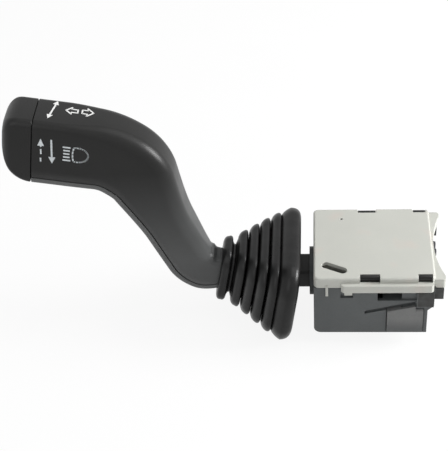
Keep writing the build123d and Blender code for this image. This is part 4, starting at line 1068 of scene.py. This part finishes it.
@dataclass
class Bellows:
    """Rubber bellows: five ribs that grow towards the body, and a thick flange."""

    centres_x: Row = (-51.6, -45.2, -40.5, -35.8, -31.0, -24.7)
    centres_z: Row = (17.3, 17.1, 16.7, 16.0, 15.1, 14.1)
    half_depths: Row = (9.4, 13.1, 17.2, 21.3, 24.9, 28.3)
    half_heights: Row = (14.6, 14.9, 15.8, 17.0, 18.6, 20.8)
    corners: Row = (7.0, 7.4, 8.2, 9.2, 10.4, 12.0)
    half_widths: Row = (2.1, 2.1, 2.15, 2.2, 2.25, 4.7)  # along the axis
    tilts: Row = (10.5, 10.5, 10.5, 10.0, 9.5, 8.5)  # in degrees
    crown_depths: Pair = (2.3, 3.4)  # how far a rib's and the flange's skin drops at its sides
    crown_power: float = 1.15
    groove: float = 4.6
    groove_lip: Pair = (0.25, 0.5)  # half width of the groove's floor and its rise there
    # Inside: (shift, drop) in the flange, drop in each middle rib, and (shift, drop) in the mouth.
    flange_hollow: tuple[Pair, Pair] = ((3.0, 4.6), (0.0, 3.6))
    rib_hollow: float = 5.8
    mouth_hollow: tuple[Pair, Pair] = ((1.0, 2.6), (-1.2, 2.9))
    corner_share: float = 0.5  # share of a drop by which the corners tighten
    least_corner: float = 1.5
    corner_room: float = 0.4

    def profile(self) -> Array:
        """Run of the skin along the axis: each rib is a half round, and a groove lies between two.

        A rib's skin is shift = half width times sin a, drop = depth times (1 - cos a), raised to a
        power that flattens the crown.

        Returns:
            Rows of (rib number, shift along the axis, drop below the rib's crown).
        """
        rows = []
        last = len(self.centres_x) - 1
        crown = np.radians(np.linspace(-90, 90, 19))
        out, rise = self.groove_lip
        for i, wide in enumerate(self.half_widths):
            deep = self.crown_depths[i == last]
            shift = wide * np.sin(crown)
            drop = deep * (1 - np.cos(crown)) ** self.crown_power
            rows.append(np.stack([np.full_like(shift, i), shift, drop], axis=-1))
            if i < last:
                gap = self.centres_x[i + 1] - self.centres_x[i]
                middle = (wide + gap - self.half_widths[i + 1]) / 2
                floor = [(i, middle + k * out, self.groove - abs(k) * rise) for k in (-1, 0, 1)]
                rows.append(np.array(floor))
        return np.concatenate(rows)

    def hollow(self) -> Array:
        """Run of the inside, from the flange back to the mouth.

        Returns:
            Rows as in the profile.
        """
        last = len(self.centres_x) - 1
        flange = [(last, *row) for row in self.flange_hollow]
        ribs = [(i, 0.0, self.rib_hollow) for i in range(last - 1, 0, -1)]
        return np.array([*flange, *ribs, *((0, *row) for row in self.mouth_hollow)])

    def ring(self, rows: Array) -> Array:
        """Tilted rounded rectangles at each row of the profile.

        Sizes between two ribs are read off straight lines over the shift along the axis.

        Args:
            rows: Rib number, shift and drop of each ring.

        Returns:
            Array of rings by points by XYZ.
        """
        centres = np.array(self.centres_x)
        x = centres[rows[:, 0].astype(int)] + rows[:, 1]
        sizes = (self.half_depths, self.half_heights, self.corners, self.centres_z)
        half, tall, corner, z = (np.interp(x, centres, values) for values in sizes)
        drop = rows[:, 2]
        half, tall = half - drop, tall - drop
        corner = np.maximum(corner - drop * self.corner_share, self.least_corner)
        corner = np.minimum(corner, np.minimum(half, tall) - self.corner_room)
        ring = Shape.rounded_ring(half, (-tall, tall), (corner, corner), 16)
        tilt = np.radians(np.interp(x, centres, self.tilts))[:, None]
        across, up = ring[..., 0], ring[..., 1]
        return np.stack([x[:, None] + up * np.sin(tilt), across, z[:, None] + up * np.cos(tilt)], axis=-1)

    def build(self, wardrobe: Wardrobe) -> Iterator[Piece]:
        """Builds the bellows with its hollow inside, and lets it ride on the lever.

        Args:
            wardrobe: Where its finish comes from.

        Yields:
            The piece.
        """
        rings = np.concatenate([self.ring(self.profile()), self.ring(self.hollow())])
        piece = Shape.rings("bellows_skin", [rings], 60)
        wardrobe.wear(piece, Finish.BELLOWS)
        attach(piece, "lever")
        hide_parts("gaiter")
        yield piece


@dataclass
class Coil:
    """Compression spring of round wire along X, with closed ends, in the place of its node."""

    name: str
    node: str
    body: str
    joint: str = ""  # the joint that presses it towards its seat, if one does
    far_body: str = ""  # the body that pulls its other end, if one does
    travel: float = 0.8  # how far it is pressed
    wire: float = 0.22
    turns: int = 5
    steps: int = 24  # circles in a turn
    sides: int = 12  # points round the wire

    def tube(self, low: Array, high: Array) -> Array:
        """Circles of wire along a helix, whose first and last turns touch their neighbours.

        A circle's centre is (x, R cos a, R sin a), and it stands across the helix there.

        Args:
            low: Lowest corner of the spring's box, in millimetres.
            high: Highest corner.

        Returns:
            Array of rings by points by XYZ.
        """
        radius = (high[2] - low[2]) / 2 - self.wire
        turn = np.linspace(0, self.turns, self.turns * self.steps + 1)
        start, end, closed = low[0] + self.wire, high[0] - self.wire, 2 * self.wire
        places = [start, start + closed, end - closed, end]
        x = np.interp(turn, [0, 1, self.turns - 1, self.turns], places)
        angle = 2 * math.pi * turn
        cos, sin = np.cos(angle), np.sin(angle)
        out = np.stack([0 * angle, cos, sin], axis=-1)
        ahead = np.stack([np.gradient(x, angle), -radius * sin, radius * cos], axis=-1)
        side = np.cross(ahead / np.linalg.norm(ahead, axis=1, keepdims=True), out)
        middle = np.stack([x, radius * cos, radius * sin + (low[2] + high[2]) / 2], axis=-1)
        phi = np.linspace(0, 2 * math.pi, self.sides, endpoint=False)[:, None]
        circle = np.cos(phi) * out[:, None] + np.sin(phi) * side[:, None]
        return middle[:, None] + self.wire * circle

    def build(self, wardrobe: Wardrobe) -> Iterator[Piece]:
        """Builds the spring: one whose far end another body moves stays put in the shared frame, any other
        rides on its body.

        Args:
            wardrobe: Where its finish comes from.

        Yields:
            The piece.
        """
        low, high = (np.array(corner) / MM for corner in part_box(self.node))
        piece = Shape.rings(self.name, [self.tube(low, high)])
        wardrobe.wear(piece, Finish.WIRE)
        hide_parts(self.node)
        if self.far_body:
            y, z = ((low + high) / 2 * MM)[1:]
            start, end = ((x * MM, y, z) for x in (low[0], high[0]))
            tuple(start)
            tuple(end)
            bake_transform(piece)
        else:
            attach(piece, self.body)
            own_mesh(piece)
        yield piece


@dataclass
class CatchNosesAndShade:
    """Noses of the four snap lugs, which fill the cover's windows up to its top: near black, part lug and
    part painted shade of the windows.
    """

    spans: tuple[Pair, ...] = ((7.9, 15.7), (32.3, 37.7))
    sides: Pair = (20.65, 22.1)
    heights: Pair = (31.0, 31.5)
    corner: float = 0.2
    ease: float = 0.3  # share of the corner that its middle ring draws in
    ring_corners: Pair = (0.02, 0.16)  # lower and upper corners of the section

    def nose(self, span: Pair, side: int) -> Array:
        """Rounded bar along X whose two ends draw in by the corner's radius.

        Args:
            span: Its two ends along X.
            side: 1 for the far wall, -1 for the near wall.

        Returns:
            Array of rings by points by XYZ.
        """
        inset = self.corner * np.array([1, self.ease, 0, 0, self.ease, 1])
        step = self.corner * np.array([0, self.ease, 1])
        x = np.concatenate([span[0] + step, span[1] - step[::-1]])
        half = (self.sides[1] - self.sides[0]) / 2 - inset
        low, high = self.heights[0] + inset, self.heights[1] - inset
        corners = [np.full_like(x, corner) for corner in self.ring_corners]
        ring = Shape.rounded_ring(half, (low, high), corners, 3)
        middle = side * (self.sides[0] + self.sides[1]) / 2
        along = np.broadcast_to(x[:, None], ring.shape[:2])
        return np.stack([along, ring[..., 0] + middle, ring[..., 1]], axis=-1)

    def build(self, wardrobe: Wardrobe) -> Iterator[Piece]:
        """Builds the four noses, which ride on the body.

        Args:
            wardrobe: Where its finish comes from.

        Yields:
            The piece.
        """
        solids = [self.nose(span, side) for span in self.spans for side in (-1, 1)]
        # near black: the lug noses, painted as the shade in the cover's windows
        piece = Shape.rings("catch_noses_and_shade", solids, 40)
        wardrobe.wear(piece, Finish.CATCH_AND_SHADE)
        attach(piece, "body")
        yield piece


@dataclass(frozen=True)
class Studio:
    """Camera, soft lamps, pale floor and world."""

    target: Triple = (-50.51, 0.0, 41.86)
    distance: float = 541.0
    elevation: float = 40.0  # in degrees, as the next two
    yaw: float = 5.69
    roll: float = -4.06
    focal_px: float = 1250.0
    frame_px: float = 451.0
    floor_gap: float = 0.2
    floor_reach: float = 3.0  # in metres
    floor_tones: Pair = (0.86, 0.9)
    floor_patch_mm: float = 60.0
    floor_glow: float = 0.89  # share of plain white that the eye sees on the floor
    world_level: float = 0.42
    # Name, place and side in metres, and watts of each lamp.
    lamps: tuple[tuple[str, Triple, float, float], ...] = (
        ("key", (0.35, 0.05, 0.9), 0.7, 2.3),
        ("side", (0.62, 0.03, 0.31), 0.26, 6.8),
        ("fill", (-0.45, -0.6, 0.5), 0.6, 1.2),
    )

    def camera(self) -> None:
        """Camera on a ball round the target: it looks down, tips up, turns about Z and rolls."""
        yaw, tip, roll = (math.radians(v) for v in (self.yaw, 90 - self.elevation, self.roll))
        turn = Matrix.Rotation(yaw, 4, "Z") @ Matrix.Rotation(tip, 4, "X") @ Matrix.Rotation(roll, 4, "Z")
        data = bpy.data.cameras.new("camera")
        data.lens = self.focal_px / self.frame_px * data.sensor_width
        data.clip_start = 0.01
        camera = add("camera", data)
        place = (Vector(self.target) + turn.col[2].xyz * self.distance) * MM
        camera.matrix_world = Matrix.Translation(place) @ turn
        bpy.context.scene.camera = camera

    def lamp(self, name: str, place: Triple, size: float, power: float) -> None:
        """A square soft lamp that looks at the middle of the part.

        Args:
            name: Name of the lamp.
            place: Where it hangs, in metres.
            size: Side of the square, in metres.
            power: Power in watts.
        """
        data = bpy.data.lights.new(name, "AREA")
        data.size = size
        data.energy = power
        aim = Vector(self.target) * MM - Vector(place)
        turn = aim.to_track_quat("-Z", "Y").to_matrix().to_4x4()
        add(name, data).matrix_world = Matrix.Translation(place) @ turn

    def floor(self, low: float) -> None:
        """Pale floor: near white to the eye, which still takes a faint shadow.

        Args:
            low: Lowest point of the part, in metres.
        """
        reach, z = self.floor_reach, low - self.floor_gap * MM
        mesh = bpy.data.meshes.new("floor")
        corners = [(x * reach, y * reach, z) for x, y in ((-1, -1), (1, -1), (1, 1), (-1, 1))]
        mesh.from_pydata(corners, [], [(0, 1, 2, 3)])
        floor = add("floor", mesh)
        graph = Graph("floor_white")
        shade = graph.span(graph.noise(self.floor_patch_mm), *self.floor_tones)
        tone = graph.node("CombineColor", {"Red": shade, "Green": shade, "Blue": shade})
        graph.finish(Base_Color=tone.outputs["Color"], Roughness=0.9, Specular_IOR_Level=0.0)
        share = graph.math("MULTIPLY", graph.seen(), self.floor_glow)
        glow = graph.node("Emission").outputs[0]
        blend = graph.node("MixShader", {0: share, 1: graph.shader.outputs[0], 2: glow})
        graph.feed(graph.nodes["Material Output"].inputs["Surface"], blend.outputs[0])
        mesh.materials.append(graph.material)
        floor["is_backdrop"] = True

    def world(self) -> None:
        """Even white world at a plain level, which the eye sees as pure white."""
        world = bpy.data.worlds.new("studio")
        world.use_nodes = True
        bpy.context.scene.world = world
        tree = Tree(world.node_tree)
        background = tree.nodes["Background"].inputs
        tree.feed(background["Strength"], tree.span(tree.seen(), self.world_level, 1.0, 0.0, 1.0))
        tree.feed(background["Color"], (1, 1, 1, 1))

    def build(self, low: float) -> None:
        """Sets up everything round the part.

        Args:
            low: Lowest point of the part, in metres.
        """
        self.camera()
        for lamp in self.lamps:
            self.lamp(*lamp)
        self.floor(low)
        self.world()
        bpy.context.scene.view_settings.view_transform = "Standard"


def plain(bounds: tuple[Vector, Vector]) -> list[list[float]]:
    """A pair of corners as plain lists."""
    return [[float(value) for value in corner] for corner in bounds]


def main(frame: dict[str, object]) -> None:
    """Builds and dresses everything in order, and reports each piece.
    """
    logging.basicConfig(level=logging.INFO, format="%(message)s")
    cad_box = plain(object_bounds())
    wardrobe = Wardrobe()
    wardrobe.dress_nodes(frame["nodes"])
    parts = (
        Lever(),
        Symbols(Side.CREST),
        Symbols(Side.FRONT),
        Bellows(),
        CatchNosesAndShade(),
        Coil("turn_coil", "turn_spring", "carrier", joint="turn_detent"),
        Coil("dip_coil", "dip_spring", "lever", joint="dip_detent"),
        Coil("pawl_coil", "pawl_spring", "body", far_body="pawl_carriage"),
    )
    for part in parts:
        for piece in part.build(wardrobe):
            LOG.info("%s: %d faces", piece.name, len(piece.data.polygons))
    Studio().build(cad_box[0][2])
    {"cad": cad_box, "visual": plain(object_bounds())}


if __name__ == "__main__":
    main(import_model())
